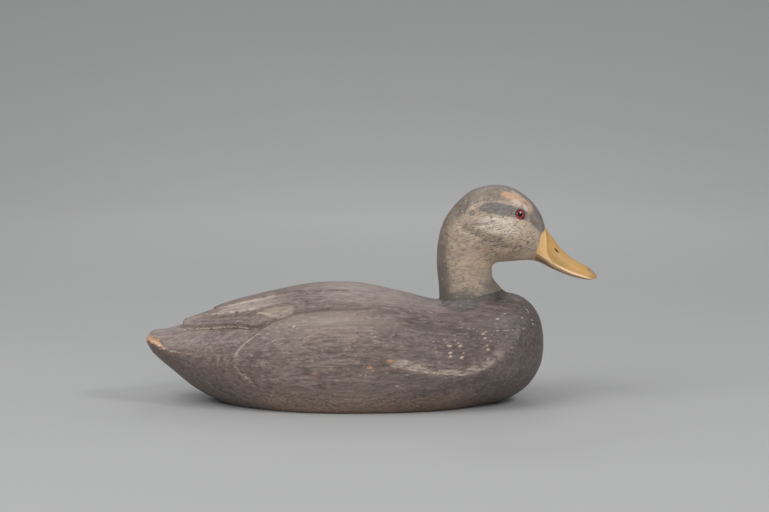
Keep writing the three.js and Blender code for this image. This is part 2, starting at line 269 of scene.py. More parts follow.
# %% The body's lines
BODY_LINES = [
    # at, back, waist, keel, half, above, below
    (0.0, 0.57, 0.53, 0.455, 0.175, 1.6, 1.5),
    (0.07, 0.65, 0.46, 0.25, 0.2, 1.65, 1.6),
    (0.13, 0.708, 0.43, 0.098, 0.262, 1.75, 1.75),
    (0.21, 0.802, 0.4, -0.03, 0.355, 1.9, 1.9),
    (0.31, 0.886, 0.38, -0.13, 0.435, 2.0, 2.05),
    (0.42, 0.961, 0.37, -0.19, 0.485, 2.05, 2.2),
    (0.53, 0.978, 0.37, -0.2, 0.5, 2.1, 2.2),
    (0.64, 0.912, 0.37, -0.18, 0.49, 2.15, 2.15),
    (0.74, 0.837, 0.38, -0.13, 0.455, 2.25, 2.1),
    (0.84, 0.893, 0.41, -0.04, 0.395, 2.3, 1.95),
    (0.92, 0.906, 0.43, 0.02, 0.325, 2.3, 1.85),
    (1.0, 0.9, 0.44, 0.06, 0.27, 2.2, 1.8),
]
TAIL_END = {"height": 0.515 * BODY_HEIGHT, "plan": 22, "side": 8, "full": 2, "above": 2}
BREAST_END = {"height": 0.46 * BODY_HEIGHT, "plan": 47, "side": 47, "full": 2.2, "above": 2.6}
BREAST_FRONT = BODY_LENGTH - TAIL_OVERHANG


def body_line(column, size):
    stations = [line[0] * BODY_LENGTH - TAIL_OVERHANG for line in BODY_LINES]
    return batten([(x, line[column] * size) for x, line in zip(stations, BODY_LINES)])


back_line, waist_line, keel_line = (body_line(column, BODY_HEIGHT) for column in (1, 2, 3))
half_beam = body_line(4, BEAM)
body_above, body_below = body_line(5, 1), body_line(6, 1)


def body_section(x):
    """Heights of the back, waist and keel, and the half width, drawn in at both ends."""
    behind, ahead = x + TAIL_OVERHANG, BREAST_FRONT - x

    def drawn(line, full):
        tail = rounded_end(behind, TAIL_END["side"], TAIL_END[full])
        breast = rounded_end(ahead, BREAST_END["side"], BREAST_END[full])
        return mix(BREAST_END["height"], mix(TAIL_END["height"], line(x), tail), breast)

    plan = rounded_end(behind, TAIL_END["plan"], TAIL_END["full"])
    plan = plan * rounded_end(ahead, BREAST_END["plan"], BREAST_END["full"])
    heights = drawn(back_line, "above"), drawn(waist_line, "full"), drawn(keel_line, "full")
    return (*heights, half_beam(x) * plan)


def plain_body(x, turn):
    """Points on the right side of the block before any relief is cut."""
    back, waist, keel, half = body_section(x)
    out, up = round_section(turn, body_above(x), body_below(x))
    height = np.where(turn > 0, back - waist, waist - keel)
    return np.stack([x + 0 * turn, -half * out, waist + height * up], axis=-1)


highest = float(back_line(np.linspace(0, BREAST_FRONT, 400)).max())
print("highest point of the back:", round(highest, 1), "mm")

# %% [markdown]
# ## Knife lines
# The carver drew each feather group on the block before cutting: the lower edge of the folded
# wing, the long tertials above it, the mantle over both, the rear edge of the flank and the roll
# of the breast. A line gives the turn round the section for each x, so it stays on the wood
# wherever the block curves.

# %% Knife lines
WING_TIP = 34
MANTLE_TIP = 65
wing_edge = batten([
    (34, 0.76), (38, 0.7), (44, 0.65), (52, 0.612), (62, 0.568), (72, 0.54), (83, 0.517),
    (92, 0.492), (101, 0.462), (109, 0.455), (117, 0.482), (132, 0.535), (142, 0.562),
    (151, 0.568), (175, 0.57), (200, 0.555), (225, 0.55), (260, 0.57),
])
tertial_edge = batten([
    (34, 0.8), (54, 0.87), (60, 0.8), (76, 0.71), (90, 0.685), (110, 0.67), (132, 0.67),
    (150, 0.65),
])
inner_edge = batten([(34, 0.86), (50, 0.92), (65, 0.965)])
mantle_edge = batten([
    (65, 0.965), (77, 0.885), (95, 0.85), (130, 0.84), (160, 0.81), (216, 0.79), (250, 0.81),
])
breast_roll = batten([
    (225, 0.1), (242, 0.03), (271, -0.03), (303, -0.1), (323, -0.085), (340, 0), (351, 0.1),
    (356, 0.24),
])
flank_rear = batten([
    (-0.3, 112), (-0.165, 100), (-0.04, 86), (0.06, 85.5), (0.2, 91), (0.32, 103), (0.45, 122),
])


def side_arc(x):
    """About how many millimetres one turn is from the waist to the back."""
    back, waist, _, half = body_section(x)
    return math.pi / 2 * np.hypot(half, back - waist) * math.sqrt(0.5)


def above(edge, x, turn):
    """Millimetres above a knife line, along the surface."""
    return (turn - edge(x)) * side_arc(x)


print("wing edge 100 mm from the tail tip, as a turn:", round(float(wing_edge(100)), 3))

# %% [markdown]
# ## Relief of the body
# Each group stands a step above the next, the tail is cut back under the wing tips, and a soft
# groove and hollow lead the eye to the breast. To the part's own relief this adds what a knife
# leaves: the undercut below the wing tips, the split between feathers, and long shallow facets
# along the grain.

# %% Relief of the body
TAIL_CUT = 3.2
FEATHER_STEP = 1.5
WING_GROOVE = 2.4
CHEST_HOLLOW = 5.5
BREAST_ROLL = 1.8
UNDERCUT = 1.1
FEATHER_SPLIT = 0.4
FLANK_LIP = 0.5
KNIFE_FACET = 0.22


def wing_mask(x, turn):
    """1 on the folded wing, 0 off it. The wing tips part at the middle over the tail."""
    knife = smooth(-0.5, 0.5, above(wing_edge, x, turn))
    notch = np.where(x < MANTLE_TIP, smooth(-0.5, 0.5, above(inner_edge, x, turn)), 0)
    return smooth(WING_TIP - 1, WING_TIP + 1, x) * knife * (1 - notch)


def flank_mask(x, turn):
    behind_edge = smooth(-1.2, 2.2, x - flank_rear(turn))
    return behind_edge * (1 - smooth(-0.5, 0.5, above(wing_edge, x, turn)))


def feather_splits(x, turn):
    """Fine grooves between the long feathers, as shares of their full depth."""
    low, middle = wing_edge(x), tertial_edge(x)
    high = np.where(x < MANTLE_TIP, inner_edge(x), mantle_edge(x))
    splits = np.zeros_like(x)
    for share in (0.36, 0.7):
        primary = (turn - mix(low, middle, share)) * side_arc(x)
        splits += bump(primary, 0, 0.8) * smooth(38, 46, x) * (1 - smooth(96, 112, x))
    for share in (0.3, 0.58, 0.82):
        tertial = (turn - mix(middle, high, share)) * side_arc(x)
        splits += bump(tertial, 0, 0.8) * smooth(62, 72, x) * (1 - smooth(125, 165, x))
    return splits


def body_relief(x, turn):
    """Millimetres that the carved surface stands above the plain block."""
    wing, flank = wing_mask(x, turn), flank_mask(x, turn)
    towards_tail = (1 - smooth(98, 122, x)) * smooth(4, 20, x)
    tail = TAIL_CUT * towards_tail * smooth(-0.3, 0.05, turn) * (1 - wing) * (1 - flank)
    shoulder_fade = 1 - smooth(150, 250, x)
    tertial = wing * smooth(-0.5, 0.5, above(tertial_edge, x, turn)) * (1 - smooth(120, 200, x))
    mantle = smooth(-0.5, 0.5, above(mantle_edge, x, turn)) * shoulder_fade * (x >= MANTLE_TIP)
    from_wing = above(wing_edge, x, turn)
    groove = WING_GROOVE * bump(from_wing, -1.5, 4) * smooth(98, 112, x) * shoulder_fade
    undercut = UNDERCUT * bump(from_wing, -1.3, 1.1) * smooth(34, 40, x)
    undercut = undercut * (1 - smooth(96, 118, x))
    lip = FLANK_LIP * bump(x - flank_rear(turn), 2.5, 3.5) * (1 - wing) * smooth(-0.15, 0.1, turn)
    lip = lip * (1 - smooth(0.38, 0.46, turn))
    hollow = CHEST_HOLLOW * bump(x, 284, 50) * bump(turn, 0.3, 0.24)
    roll = BREAST_ROLL * bump(above(breast_roll, x, turn), 0, 9) * smooth(215, 250, x)
    roll = roll * (1 - smooth(352, 374, x))
    splits = FEATHER_SPLIT * feather_splits(x, turn)
    raised = FEATHER_STEP * (tertial + mantle) + roll + lip
    return raised - tail - groove - undercut - hollow - splits


def carved_body(x, turn):
    relief = body_relief(x, turn)
    return plain_body(x, turn) + outward(plain_body, x, turn) * relief[..., None]


under_tip = body_relief(np.array([60.0]), np.array([0.5]))[0]
print("depth under the wing tip:", round(float(under_tip), 2), "mm")

# %% [markdown]
# ## Cutting a block from a ball
# A ball with its poles at the tail and the breast already has the right faces: its rings become
# the sections of the block and its meridians run along it. So the ball comes from one bmesh
# operator, and only its points move. A coarse ball that is then subdivided is made much faster
# than a fine one. Rows of points follow the knife lines, in a pair half a millimetre to each
# side, which keeps every cut edge crisp.

# %% Cutting a block from a ball
SPLIT = 4


def ball(rings, rows):
    """A ball with its poles fore and aft. Rows count from the bottom to the top of one side."""
    shape = bmesh.new()
    around, along = 2 * rows // SPLIT, rings // SPLIT
    bmesh.ops.create_uvsphere(shape, u_segments=around, v_segments=along, radius=1)
    bmesh.ops.subdivide_edges(shape, edges=shape.edges[:], cuts=SPLIT - 1, use_grid_fill=True)
    bmesh.ops.rotate(shape, verts=shape.verts, matrix=Matrix.Rotation(math.pi / 2, 3, "Y"))
    return shape


def places_on(shape, rings, rows):
    """Each point's ring from aft, its row, and its side: 1 for the right, -1 for the left."""
    spot = np.array([v.co.normalized() for v in shape.verts])
    ring = np.arccos(np.clip(-spot[:, 0], -1, 1)) / math.pi * rings
    row = (0.5 + np.arctan2(spot[:, 2], np.abs(spot[:, 1])) / math.pi) * rows
    side = np.where(np.abs(spot[:, 1]) < 1e-6, 0, -np.sign(spot[:, 1]))
    return ring, row, side


def on_rails(row, rails):
    """The turn of each row, where rails are (row, turn) pairs from the bottom to the top."""
    turn = np.full_like(row, -1.0)
    for (row_0, turn_0), (row_1, turn_1) in zip(rails, rails[1:]):
        here = mix(turn_0, turn_1, (row - row_0) / (row_1 - row_0))
        turn = np.where(row > row_0, here, turn)
    return np.clip(turn, -1, 1)


def unevenness(points, reach, seed):
    """Soft hand-made unevenness from -1 to 1. reach is its size in mm along x, y and z."""
    offset = Vector((seed * 17.3, seed * 5.1, 0))
    scaled = points / np.array(reach)
    return np.array([noise.noise(Vector(p) + offset) for p in scaled])


print("a small ball has", len(ball(24, 16).verts), "points")

# %% Body block
BODY_RINGS = 296
BODY_ROWS = 168
FLOOR_ROW = 8
WAIST_ROW = 50
WING_ROW = 100
TERTIAL_ROW = 116
MANTLE_ROW = 130
BESIDE_EDGE = 0.5
SEAT_AFT = (281.4, 100.2)
SEAT_FORE = (341.0, 110.2)
SEAT_HALF = 29
FOOT_REACH = 8.5


def body_stations():
    """x of each ring: closer together where the ends curve in."""
    tail_rings, breast_rings = 40, 62
    tail = TAIL_END["plan"] * (1 - np.cos(np.linspace(0, math.pi / 2, tail_rings))) - TAIL_OVERHANG
    quarter = np.linspace(math.pi / 2, 0, breast_rings)
    breast = BREAST_FRONT - BREAST_END["plan"] * (1 - np.cos(quarter))
    middle = np.linspace(tail[-1], breast[0], BODY_RINGS - tail_rings - breast_rings + 3)[1:-1]
    return np.concatenate([tail, middle, breast])


def body_turn(x, row):
    """The turn of each row at x, with a pair of rows along each knife line."""
    _, waist, keel, _ = body_section(x)
    at_floor = np.clip(waist / np.maximum(waist - keel, 1), 0, 1) ** (body_below(x) / 2)
    floor_turn = np.maximum(-np.arcsin(at_floor) * 2 / math.pi, -0.85)
    beside = BESIDE_EDGE / half_beam(x)
    upper = np.where(x < MANTLE_TIP, inner_edge(x), mantle_edge(x))
    wing = np.minimum(wing_edge(x), upper - 7 * beside)
    tertial = np.clip(tertial_edge(x), wing + 2.5 * beside, upper - 2.5 * beside)
    return on_rails(row, [
        (0, -1), (FLOOR_ROW, floor_turn), (WAIST_ROW, 0),
        (WING_ROW - 1, wing - beside), (WING_ROW + 1, wing + beside),
        (TERTIAL_ROW - 1, tertial - beside), (TERTIAL_ROW + 1, tertial + beside),
        (MANTLE_ROW - 1, upper - beside), (MANTLE_ROW + 1, upper + beside), (BODY_ROWS, 1),
    ])


def seat_distance(x, y):
    """Millimetres outside the neck's outline on the shoulders, less than 0 under the neck."""
    half_length = (SEAT_FORE[0] - SEAT_AFT[0]) / 2
    along = np.abs(x - SEAT_AFT[0] - half_length) / half_length
    return ((along ** 2.1 + np.abs(y / SEAT_HALF) ** 2.1) ** (1 / 2.1) - 1) * SEAT_HALF


def raised_to_seat(points):
    """Lifts the shoulders to the neck's seat, in a hollow curve like a filled glue joint."""
    x, y, z = points.T
    rise = (SEAT_FORE[1] - SEAT_AFT[1]) / (SEAT_FORE[0] - SEAT_AFT[0])
    seat = SEAT_AFT[1] + rise * (x - SEAT_AFT[0]) - GLUE_LINE
    share = np.clip(1 - seat_distance(x, y) / FOOT_REACH, 0, 1) ** 2.4
    lifted = z + np.maximum(seat - z, 0) * share
    return np.stack([x, y, np.where(z > BODY_HEIGHT / 2, lifted, z)], axis=-1)


body_shape = ball(BODY_RINGS, BODY_ROWS)
ring, row, body_side = places_on(body_shape, BODY_RINGS, BODY_ROWS)
body_x = np.interp(ring, np.arange(BODY_RINGS + 1), body_stations())
body_round = body_turn(body_x, row)
body_points = carved_body(body_x, body_round)
facets = unevenness(body_points, (60, 14, 14), 1) + 0.5 * unevenness(body_points, (24, 6, 6), 2)
body_points += outward(plain_body, body_x, body_round) * (KNIFE_FACET * facets)[:, None]
body_points = raised_to_seat(body_points)
body_points[:, 1] *= np.abs(body_side) * np.where(body_side < 0, -1, 1)
body_points[:, 2] = np.maximum(body_points[:, 2], 0)
print("body points:", len(body_points))

# %% Body piece


def to_part_frame(points):
    """From the drawing's millimetres to metres from the part's middle."""
    return (points - np.array([OVERALL_LENGTH / 2 - TAIL_OVERHANG, 0, 0])) * MM


def carved_piece(shape, points, name, low, high):
    """Moves the ball's points to their carved places, inside the box of the piece's node."""
    piece = object_of(shape, name)
    inside = np.clip(to_part_frame(points), np.array(low), np.array(high))
    piece.data.vertices.foreach_set("co", inside.astype(np.float32).ravel())
    piece.data.update()
    piece.data.shade_smooth()
    return piece


bmesh.ops.recalc_face_normals(body_shape, faces=body_shape.faces)
body = carved_piece(body_shape, body_points, "carved_body", body_low, body_high)
print("body triangles:", sum(len(p.vertices) - 2 for p in body.data.polygons))

# %% [markdown]
# ## The head's lines
# The head block is a bent one: its sections start level on the shoulders, lean back up the neck,
# swing round the crown and end upright at the tip of the bill. So each section is given by a
# point on its upper line and one on its lower line, and u counts the sections from the seat to
# the tip.

# %% The head's lines
HEAD_LINES = [
    # over, under, half, widest, above, below
    ((281.4, 100.2), (341, 110.2), 29, 0.5, 2.1, 2.1),
    ((280.5, 117), (333, 119.5), 24.5, 0.5, 2.1, 2.1),
    ((278.8, 136), (331.8, 127.5), 23, 0.5, 2.1, 2.1),
    ((279.9, 155), (332.2, 131.6), 23.5, 0.5, 2.1, 2.1),
    ((285.6, 175.6), (334.7, 134.4), 25.5, 0.52, 2.1, 2.1),
    ((297.7, 192.3), (339.1, 135.8), 26.5, 0.5, 2.15, 2.1),
    ((313.1, 205.2), (345, 136.2), 27, 0.46, 2.2, 2.1),
    ((332.6, 210), (352, 136.8), 26.8, 0.42, 2.2, 2.1),
    ((351.7, 206.8), (360.5, 137.4), 24.5, 0.42, 2.15, 2.05),
    ((367.9, 196), (368, 137.4), 20, 0.42, 2.1, 2),
    ((378.5, 182), (375.5, 135.8), 15, 0.38, 2, 2.1),
    ((383, 169.5), (382, 133), 11.5, 0.28, 1.7, 2.6),
    ((390.6, 158.5), (389, 129.8), 11, 0.18, 1.5, 3),
    ((399.4, 147.5), (399, 125.6), 11.6, 0.14, 1.55, 3),
    ((410.3, 138.2), (410.5, 121.6), 12.6, 0.14, 1.75, 2.8),
    ((423.6, 131.4), (422.5, 119.2), 12.8, 0.18, 1.9, 2.6),
    ((433, 126), (433, 118.4), 12.6, 0.3, 2, 2.2),
]
BILL_TIP = len(HEAD_LINES) - 1
BILL_END = {"height": 121, "length": 1.35, "full": 2.1}


def head_line(pick):
    return batten([(i, pick(line)) for i, line in enumerate(HEAD_LINES)])


over_x, over_z = head_line(lambda line: line[0][0]), head_line(lambda line: line[0][1])
under_x, under_z = head_line(lambda line: line[1][0]), head_line(lambda line: line[1][1])
head_half, head_widest = head_line(lambda line: line[2]), head_line(lambda line: line[3])
head_above, head_below = head_line(lambda line: line[4]), head_line(lambda line: line[5])


def plain_head(u, turn):
    """Points on the right side of the head block before any relief is cut."""
    left = rounded_end(BILL_TIP - u, BILL_END["length"], BILL_END["full"])
    out, up = round_section(turn, head_above(u), head_below(u))
    widest = head_widest(u)
    share = widest + up * np.where(turn > 0, 1 - widest, widest)
    x = mix(under_x(u), over_x(u), share)
    z = mix(BILL_END["height"], mix(under_z(u), over_z(u), share), left)
    return np.stack([x, -head_half(u) * left * out, z], axis=-1)


print("crown height:", round(float(over_z(np.linspace(6, 8, 50)).max()), 1), "mm")

# %% [markdown]
# ## Relief of the head
# Cheek and brow stand proud of a channel that runs back from the bill past the eye. The bill has
# a side wall that meets its upper face in a ridge, a mouth line between the halves, and a small
# hooked nail at the tip. The feathers end in a low step where the bill begins.

# %% Relief of the head
EYE_CHANNEL = 1.7
CHEEK = 1.5
BROW = 0.9
BILL_STEP = 0.35
BILL_RIDGE = 0.55
MOUTH_CUT = 0.75
NAIL = 0.35

bill_border = batten([
    (-1, 9.3), (-0.58, 9.5), (-0.43, 9.58), (-0.27, 9.68), (0.01, 9.91), (0.27, 10.18),
    (0.54, 10.65), (0.72, 10.86), (1, 10.95),
])
ridge_upright = batten([
    (0.08, 12), (0.13, 11.61), (0.18, 11.29), (0.3, 11.18), (0.47, 11.12), (0.71, 10.95),
])
ridge_along = batten([(11.3, 0.16), (12, 0.08), (13.15, 0.07), (14.58, 0.03), (15.6, -0.1)])
mouth_line = batten([
    (9.65, -0.44), (10.42, -0.33), (11.37, -0.1), (12.01, -0.06), (12.89, 0.0), (13.63, 0.0),
    (14.48, -0.02), (15.6, -0.2),
])


def head_arc(u):
    """About how many millimetres one turn is on the head."""
    tall = np.hypot(over_x(u) - under_x(u), over_z(u) - under_z(u)) / 2
    return math.pi / 2 * np.hypot(head_half(u), tall) * math.sqrt(0.5)


def head_step(u):
    """Millimetres between sections, halfway round them."""
    ahead, behind = plain_head(u + 0.05, 0 * u), plain_head(u - 0.05, 0 * u)
    return np.linalg.norm(ahead - behind, axis=-1) / 0.1


def bill_mask(u, turn):
    return smooth(-0.4, 0.4, (u - bill_border(turn)) * 10)


def on_ridge(u, turn):
    """1 on the ridge between the side wall and the upper face of the bill, 0 away from it."""
    upright = bump((u - ridge_upright(turn)) * 8, 0, 1.1) * smooth(0.08, 0.16, turn)
    upright = upright * (1 - smooth(0.62, 0.74, turn))
    along = bump((turn - ridge_along(u)) * head_arc(u), 0, 0.9) * smooth(11.4, 11.8, u)
    return np.maximum(upright, along * (1 - smooth(15.1, 15.6, u)))


def on_mouth(u, turn):
    line = bump((turn - mouth_line(u)) * head_arc(u), 0, 0.55)
    return line * smooth(9.6, 9.9, u) * (1 - smooth(15.2, 15.6, u))


def part_head_relief(u, turn):
    """The relief that the part's own head has."""
    face = smooth(4.8, 6.6, u) * (1 - smooth(9.6, 11, u))
    channel = EYE_CHANNEL * bump(turn, 0.22 + 0.035 * (u - 6), 0.17)
    cheek = CHEEK * bump(u, 7.9, 1.3) * bump(turn, -0.12, 0.2)
    brow = BROW * bump(u, 8.2, 1.2) * bump(turn, 0.58, 0.16)
    return face * (cheek + brow - channel)


def head_relief(u, turn):
    bill = bill_mask(u, turn)
    nail = NAIL * bump(u, 15.2, 0.45) * smooth(0.5, 0.75, turn)
    cuts = BILL_STEP * bill * (1 - smooth(10.8, 12.2, u)) + MOUTH_CUT * on_mouth(u, turn)
    return part_head_relief(u, turn) + BILL_RIDGE * on_ridge(u, turn) + nail * bill - cuts


def carved_head(u, turn, relief):
    return plain_head(u, turn) + outward(plain_head, u, turn) * relief(u, turn)[..., None]


print("one section of the bill is", round(float(head_step(np.array([13.0]))[0]), 1), "mm long")

# %% [markdown]
# ## Where the eyes and nostrils sit
# Both are given by u and turn, so they stay on the wood. A small frame of three directions at
# each, ahead, out and across, is all that is needed to sink a socket or set a glass eye. The
# middle of the part's own eye node shows that this lands in the same place.

# %% Places on the head
EYE_AT = (8.28, 0.29)
NOSTRIL_AT = (12.4, 0.55)


def place_on_head(at, side):
    """A point on the carved head with its ahead, out and across directions, in millimetres."""
    u, turn = np.array([at[0]]), np.array([at[1]])
    point = carved_head(u, turn, part_head_relief)[0]
    out = outward(plain_head, u, turn)[0]
    ahead = (plain_head(u + 0.1, turn) - plain_head(u - 0.1, turn))[0]
    ahead /= np.linalg.norm(ahead)
    for direction in (point, out, ahead):
        direction[1] *= side
    return point, ahead, out, np.cross(ahead, out)


for eye_node, side in (("eye_right", 1), ("eye_left", -1)):
    low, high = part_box(eye_node)
    middle = [round(c / MM, 1) for c in (low + high) / 2]
    ours = to_part_frame(place_on_head(EYE_AT, side)[0]) / MM
    print(eye_node, "node middle", middle, "place on the wood", [round(c, 1) for c in ours])

# %% [markdown]
# ## Head block
# The same ball trick makes the head. Round the eyes and nostrils its faces are subdivided first,
# so that a socket only 9 mm across still has a round rim. The neck runs a little way down into
# the shoulders, which hides its cut end.

# %% Head block
HEAD_RINGS = 272
HEAD_ROWS = 92
SKIRT = 4.0
SKIRT_RINGS = 2
SOCKET = {"rim": 5.3, "wall": 0.9, "deep": 2.6, "reach": 12}
LID = {"radius": 6.6, "wide": 1.3, "high": 0.25}
NOSTRIL = {"long": 2.9, "high": 0.9, "deep": 1.0, "reach": 4}


def head_stations():
    """u of each ring above the skirt: closer together where the bill's tip curves in."""
    tip_rings = 34
    tip = BILL_TIP - BILL_END["length"] * (1 - np.cos(np.linspace(math.pi / 2, 0, tip_rings)))
    return np.concatenate([np.linspace(0, tip[0], HEAD_RINGS - tip_rings)[:-1], tip])


def refined_near(shape, at, reach, cuts):
    """Subdivides the ball's faces round a place that is given by u and turn."""
    stations = head_stations()
    ring_at = np.interp(at[0], stations, np.arange(len(stations))) + SKIRT_RINGS
    row_at = (at[1] + 1) / 2 * HEAD_ROWS
    rings, rows, _ = places_on(shape, HEAD_RINGS, HEAD_ROWS)
    near = (np.abs(rings - ring_at) < reach[0]) & (np.abs(rows - row_at) < reach[1])
    shape.verts.index_update()
    edges = [e for e in shape.edges if near[e.verts[0].index] and near[e.verts[1].index]]
    bmesh.ops.subdivide_edges(shape, edges=edges, cuts=cuts, use_grid_fill=True)


def nostril_oval(points, side):
    """How far out in the nostril's oval each point is, whether it is near, and the way out."""
    point, ahead, out, across = place_on_head(NOSTRIL_AT, side)
    away = points - point
    oval = np.hypot(away @ ahead / NOSTRIL["long"], away @ across / NOSTRIL["high"])
    return oval, np.abs(away @ out) < NOSTRIL["reach"], out


def dished(points, side_of):
    """Sinks the sockets, raises a soft lid round each, and cuts the nostril slits."""
    for side in (1, -1):
        point, ahead, out, across = place_on_head(EYE_AT, side)
        away = points - point
        level = away @ out
        radius = np.hypot(away @ ahead, away @ across)
        ours = (side_of * side >= 0) & (np.abs(level) < SOCKET["reach"])
        deep = SOCKET["deep"] * (1 - smooth(SOCKET["rim"] - SOCKET["wall"], SOCKET["rim"], radius))
        lid = LID["high"] * bump(radius, LID["radius"], LID["wide"])
        points = points + out * (np.where(ours, lid - deep, 0))[:, None]
        oval, near, out = nostril_oval(points, side)
        ours = (side_of * side >= 0) & near
        cut = NOSTRIL["deep"] * (1 - smooth(0.5, 1.15, oval))
        points = points - out * (np.where(ours, cut, 0))[:, None]
    return points


head_shape = ball(HEAD_RINGS, HEAD_ROWS)
refined_near(head_shape, EYE_AT, (9, 9), 2)
refined_near(head_shape, NOSTRIL_AT, (8, 8), 2)
ring, row, head_side = places_on(head_shape, HEAD_RINGS, HEAD_ROWS)
stations = head_stations()
head_u = np.interp(ring - SKIRT_RINGS, np.arange(len(stations)), stations)
head_turn = -1 + 2 * row / HEAD_ROWS
head_points = carved_head(head_u, head_turn, head_relief)
facets = unevenness(head_points, (16, 16, 16), 3) + 0.5 * unevenness(head_points, (7, 7, 7), 4)
facets = facets * (1 - 0.7 * bill_mask(head_u, head_turn))
head_points += outward(plain_head, head_u, head_turn) * (KNIFE_FACET * facets)[:, None]
ends = plain_head(np.zeros(2), np.array([1.0, -1.0]))
seat_middle = ends.mean(axis=0)
seat_up = np.cross(ends[1] - ends[0], (0, 1, 0))
seat_up /= np.linalg.norm(seat_up)
inwards = np.clip(ring, 0, 1)[:, None]
skirt = seat_middle + (head_points - seat_middle) * inwards - seat_up * SKIRT
head_points = np.where((ring < SKIRT_RINGS - 0.5)[:, None], skirt, head_points)
head_points[:, 1] *= np.abs(head_side) * np.where(head_side < 0, -1, 1)
head_points = dished(head_points, head_side)
bmesh.ops.recalc_face_normals(head_shape, faces=head_shape.faces)
head_floor = Vector((head_low.x, head_low.y, head_low.z - SKIRT * MM))
head = carved_piece(head_shape, head_points, "carved_head", head_floor, head_high)
print("head triangles:", sum(len(p.vertices) - 2 for p in head.data.polygons))

# %% [markdown]
# ## Glass eyes
# A taxidermist's eye is a clear glass dome with the iris and pupil painted on its flat back. Here
# the dome is a profile spun round its own axis, and the painted back is a thin disc set into its
# flat back, so the pupil shifts under the glass when the view moves, as a real one does.

# %% Glass eyes
EYE_RADIUS = 4.5
EYE_STANDS_OUT = 1.6
GLASS_BACK = -0.9
IRIS_IN_GLASS = 0.12
IRIS_THICK = 0.5
EYE_SIDES = 64
PUPIL_BACK = 0.7


def set_in_head(shape, at, side):
    """Moves a shape made round the Z axis to its place on the head, with Z out of the wood."""
    point, ahead, out, across = place_on_head(at, side)
    turned = Matrix((ahead, -across * side, out)).transposed()
    bmesh.ops.scale(shape, vec=(MM, MM, MM), verts=shape.verts)
    bmesh.ops.rotate(shape, verts=shape.verts, matrix=turned)
    bmesh.ops.translate(shape, vec=Vector(to_part_frame(point)), verts=shape.verts)
    bmesh.ops.recalc_face_normals(shape, faces=shape.faces)


def glass_profile():
    dome = [
        (EYE_RADIUS * math.cos(a), EYE_STANDS_OUT * math.sin(a))
        for a in np.linspace(0, math.pi / 2, 14)[:-1]
    ]
    return [(0, GLASS_BACK), (EYE_RADIUS, GLASS_BACK), *dome, (0, EYE_STANDS_OUT)]


def iris_profile():
    front = GLASS_BACK + IRIS_IN_GLASS
    rings = [(EYE_RADIUS * share, front) for share in np.linspace(1, 0, 9)]
    return [(0, front - IRIS_THICK), (EYE_RADIUS, front - IRIS_THICK), *rings]


eyes, irises = {}, {}
for name, side in (("right", 1), ("left", -1)):
    kinds = ("glass", glass_profile(), eyes), ("iris", iris_profile(), irises)
    for kind, profile, made in kinds:
        shape = spun(profile, EYE_SIDES)
        radial = [math.hypot(v.co.x + PUPIL_BACK, v.co.y) / EYE_RADIUS for v in shape.verts]
        set_in_head(shape, EYE_AT, side)
        made[name] = object_of(shape, f"eye_{kind}_{name}")
        made[name].data.shade_smooth()
        made[name].data.set_sharp_from_angle(angle=math.radians(40))
        share = made[name].data.attributes.new("from_pupil", "FLOAT", "POINT")
        share.data.foreach_set("value", radial)
print("eye pieces:", [o.name for o in (*eyes.values(), *irises.values())])

# %% [markdown]
# ## Tools for finishes
# A finish is a small network of nodes. `put` adds one node and wires it, and the short helpers
# after it name what each common node is for, so that a finish reads as a list of layers, which
# `laid` puts one over another. Patterns read Object coordinates, so they are fixed in the wood.
# Where paint follows the carving, they read marks that are stored on the points of the mesh.

# %% Tools for finishes


def put(tree, kind, feeds=None, **settings):
    """Adds a node. feeds names its inputs: a socket is linked, and anything else is set."""
    made = tree.nodes.new("ShaderNode" + kind)
    for name, value in settings.items():
        setattr(made, name, value)
    for name, value in (feeds or {}).items():
        if isinstance(value, bpy.types.NodeSocket):
            tree.links.new(value, made.inputs[name])
        else:
            made.inputs[name].default_value = value
    return made


def paint_colour(red, green, blue):
    """A paint as it looks on a screen, 0 to 255, as the linear colour that nodes use."""
    shares = [c / 255 for c in (red, green, blue)]
    return (*[s / 12.92 if s < 0.04045 else ((s + 0.055) / 1.055) ** 2.4 for s in shares], 1)


def maths(tree, operation, a, b=0.5):
    return put(tree, "Math", {0: a, 1: b}, operation=operation).outputs[0]


def layered(tree, share, under, over, strength=1.0, blend="MIX"):
    """over laid on under, where share is 1."""
    covering = share if strength == 1.0 else maths(tree, "MULTIPLY", share, strength)
    feeds = {"Factor": covering, 6: under, 7: over}
    return put(tree, "Mix", feeds, data_type="RGBA", blend_type=blend).outputs[2]


def two_paints(tree, share, under, over):
    """One paint over another where share is 1, both as screen values."""
    return layered(tree, share, paint_colour(*under), paint_colour(*over))


def shaded(tree, share, under, tint):
    """Painted shade: under is multiplied by the tint, where share is 1."""
    return layered(tree, share, under, tint, blend="MULTIPLY")


def between(tree, value, low, high):
    """0 below low, 1 above high and a smooth step between them."""
    feeds = {"Value": value, "From Min": low, "From Max": high}
    return put(tree, "MapRange", feeds, interpolation_type="SMOOTHSTEP").outputs[0]


def spread(tree, value, at_0, at_1):
    """Turns a value of 0 to 1 into one of at_0 to at_1."""
    feeds = {"Value": value, "To Min": at_0, "To Max": at_1}
    return put(tree, "MapRange", feeds).outputs[0]


def stretched(tree, vector, per_metre):
    """Object coordinates counted in pattern sizes along x, y and z."""
    return put(tree, "Mapping", {"Vector": vector, "Scale": per_metre}).outputs[0]


def cloudy(tree, vector, scale=1.0, detail=3.0, rough=0.55):
    feeds = {"Vector": vector, "Scale": scale, "Detail": detail, "Roughness": rough}
    return put(tree, "TexNoise", feeds).outputs["Fac"]


def mark(tree, name):
    """A mark stored on the points of the piece."""
    return put(tree, "Attribute", attribute_name=name).outputs["Fac"]


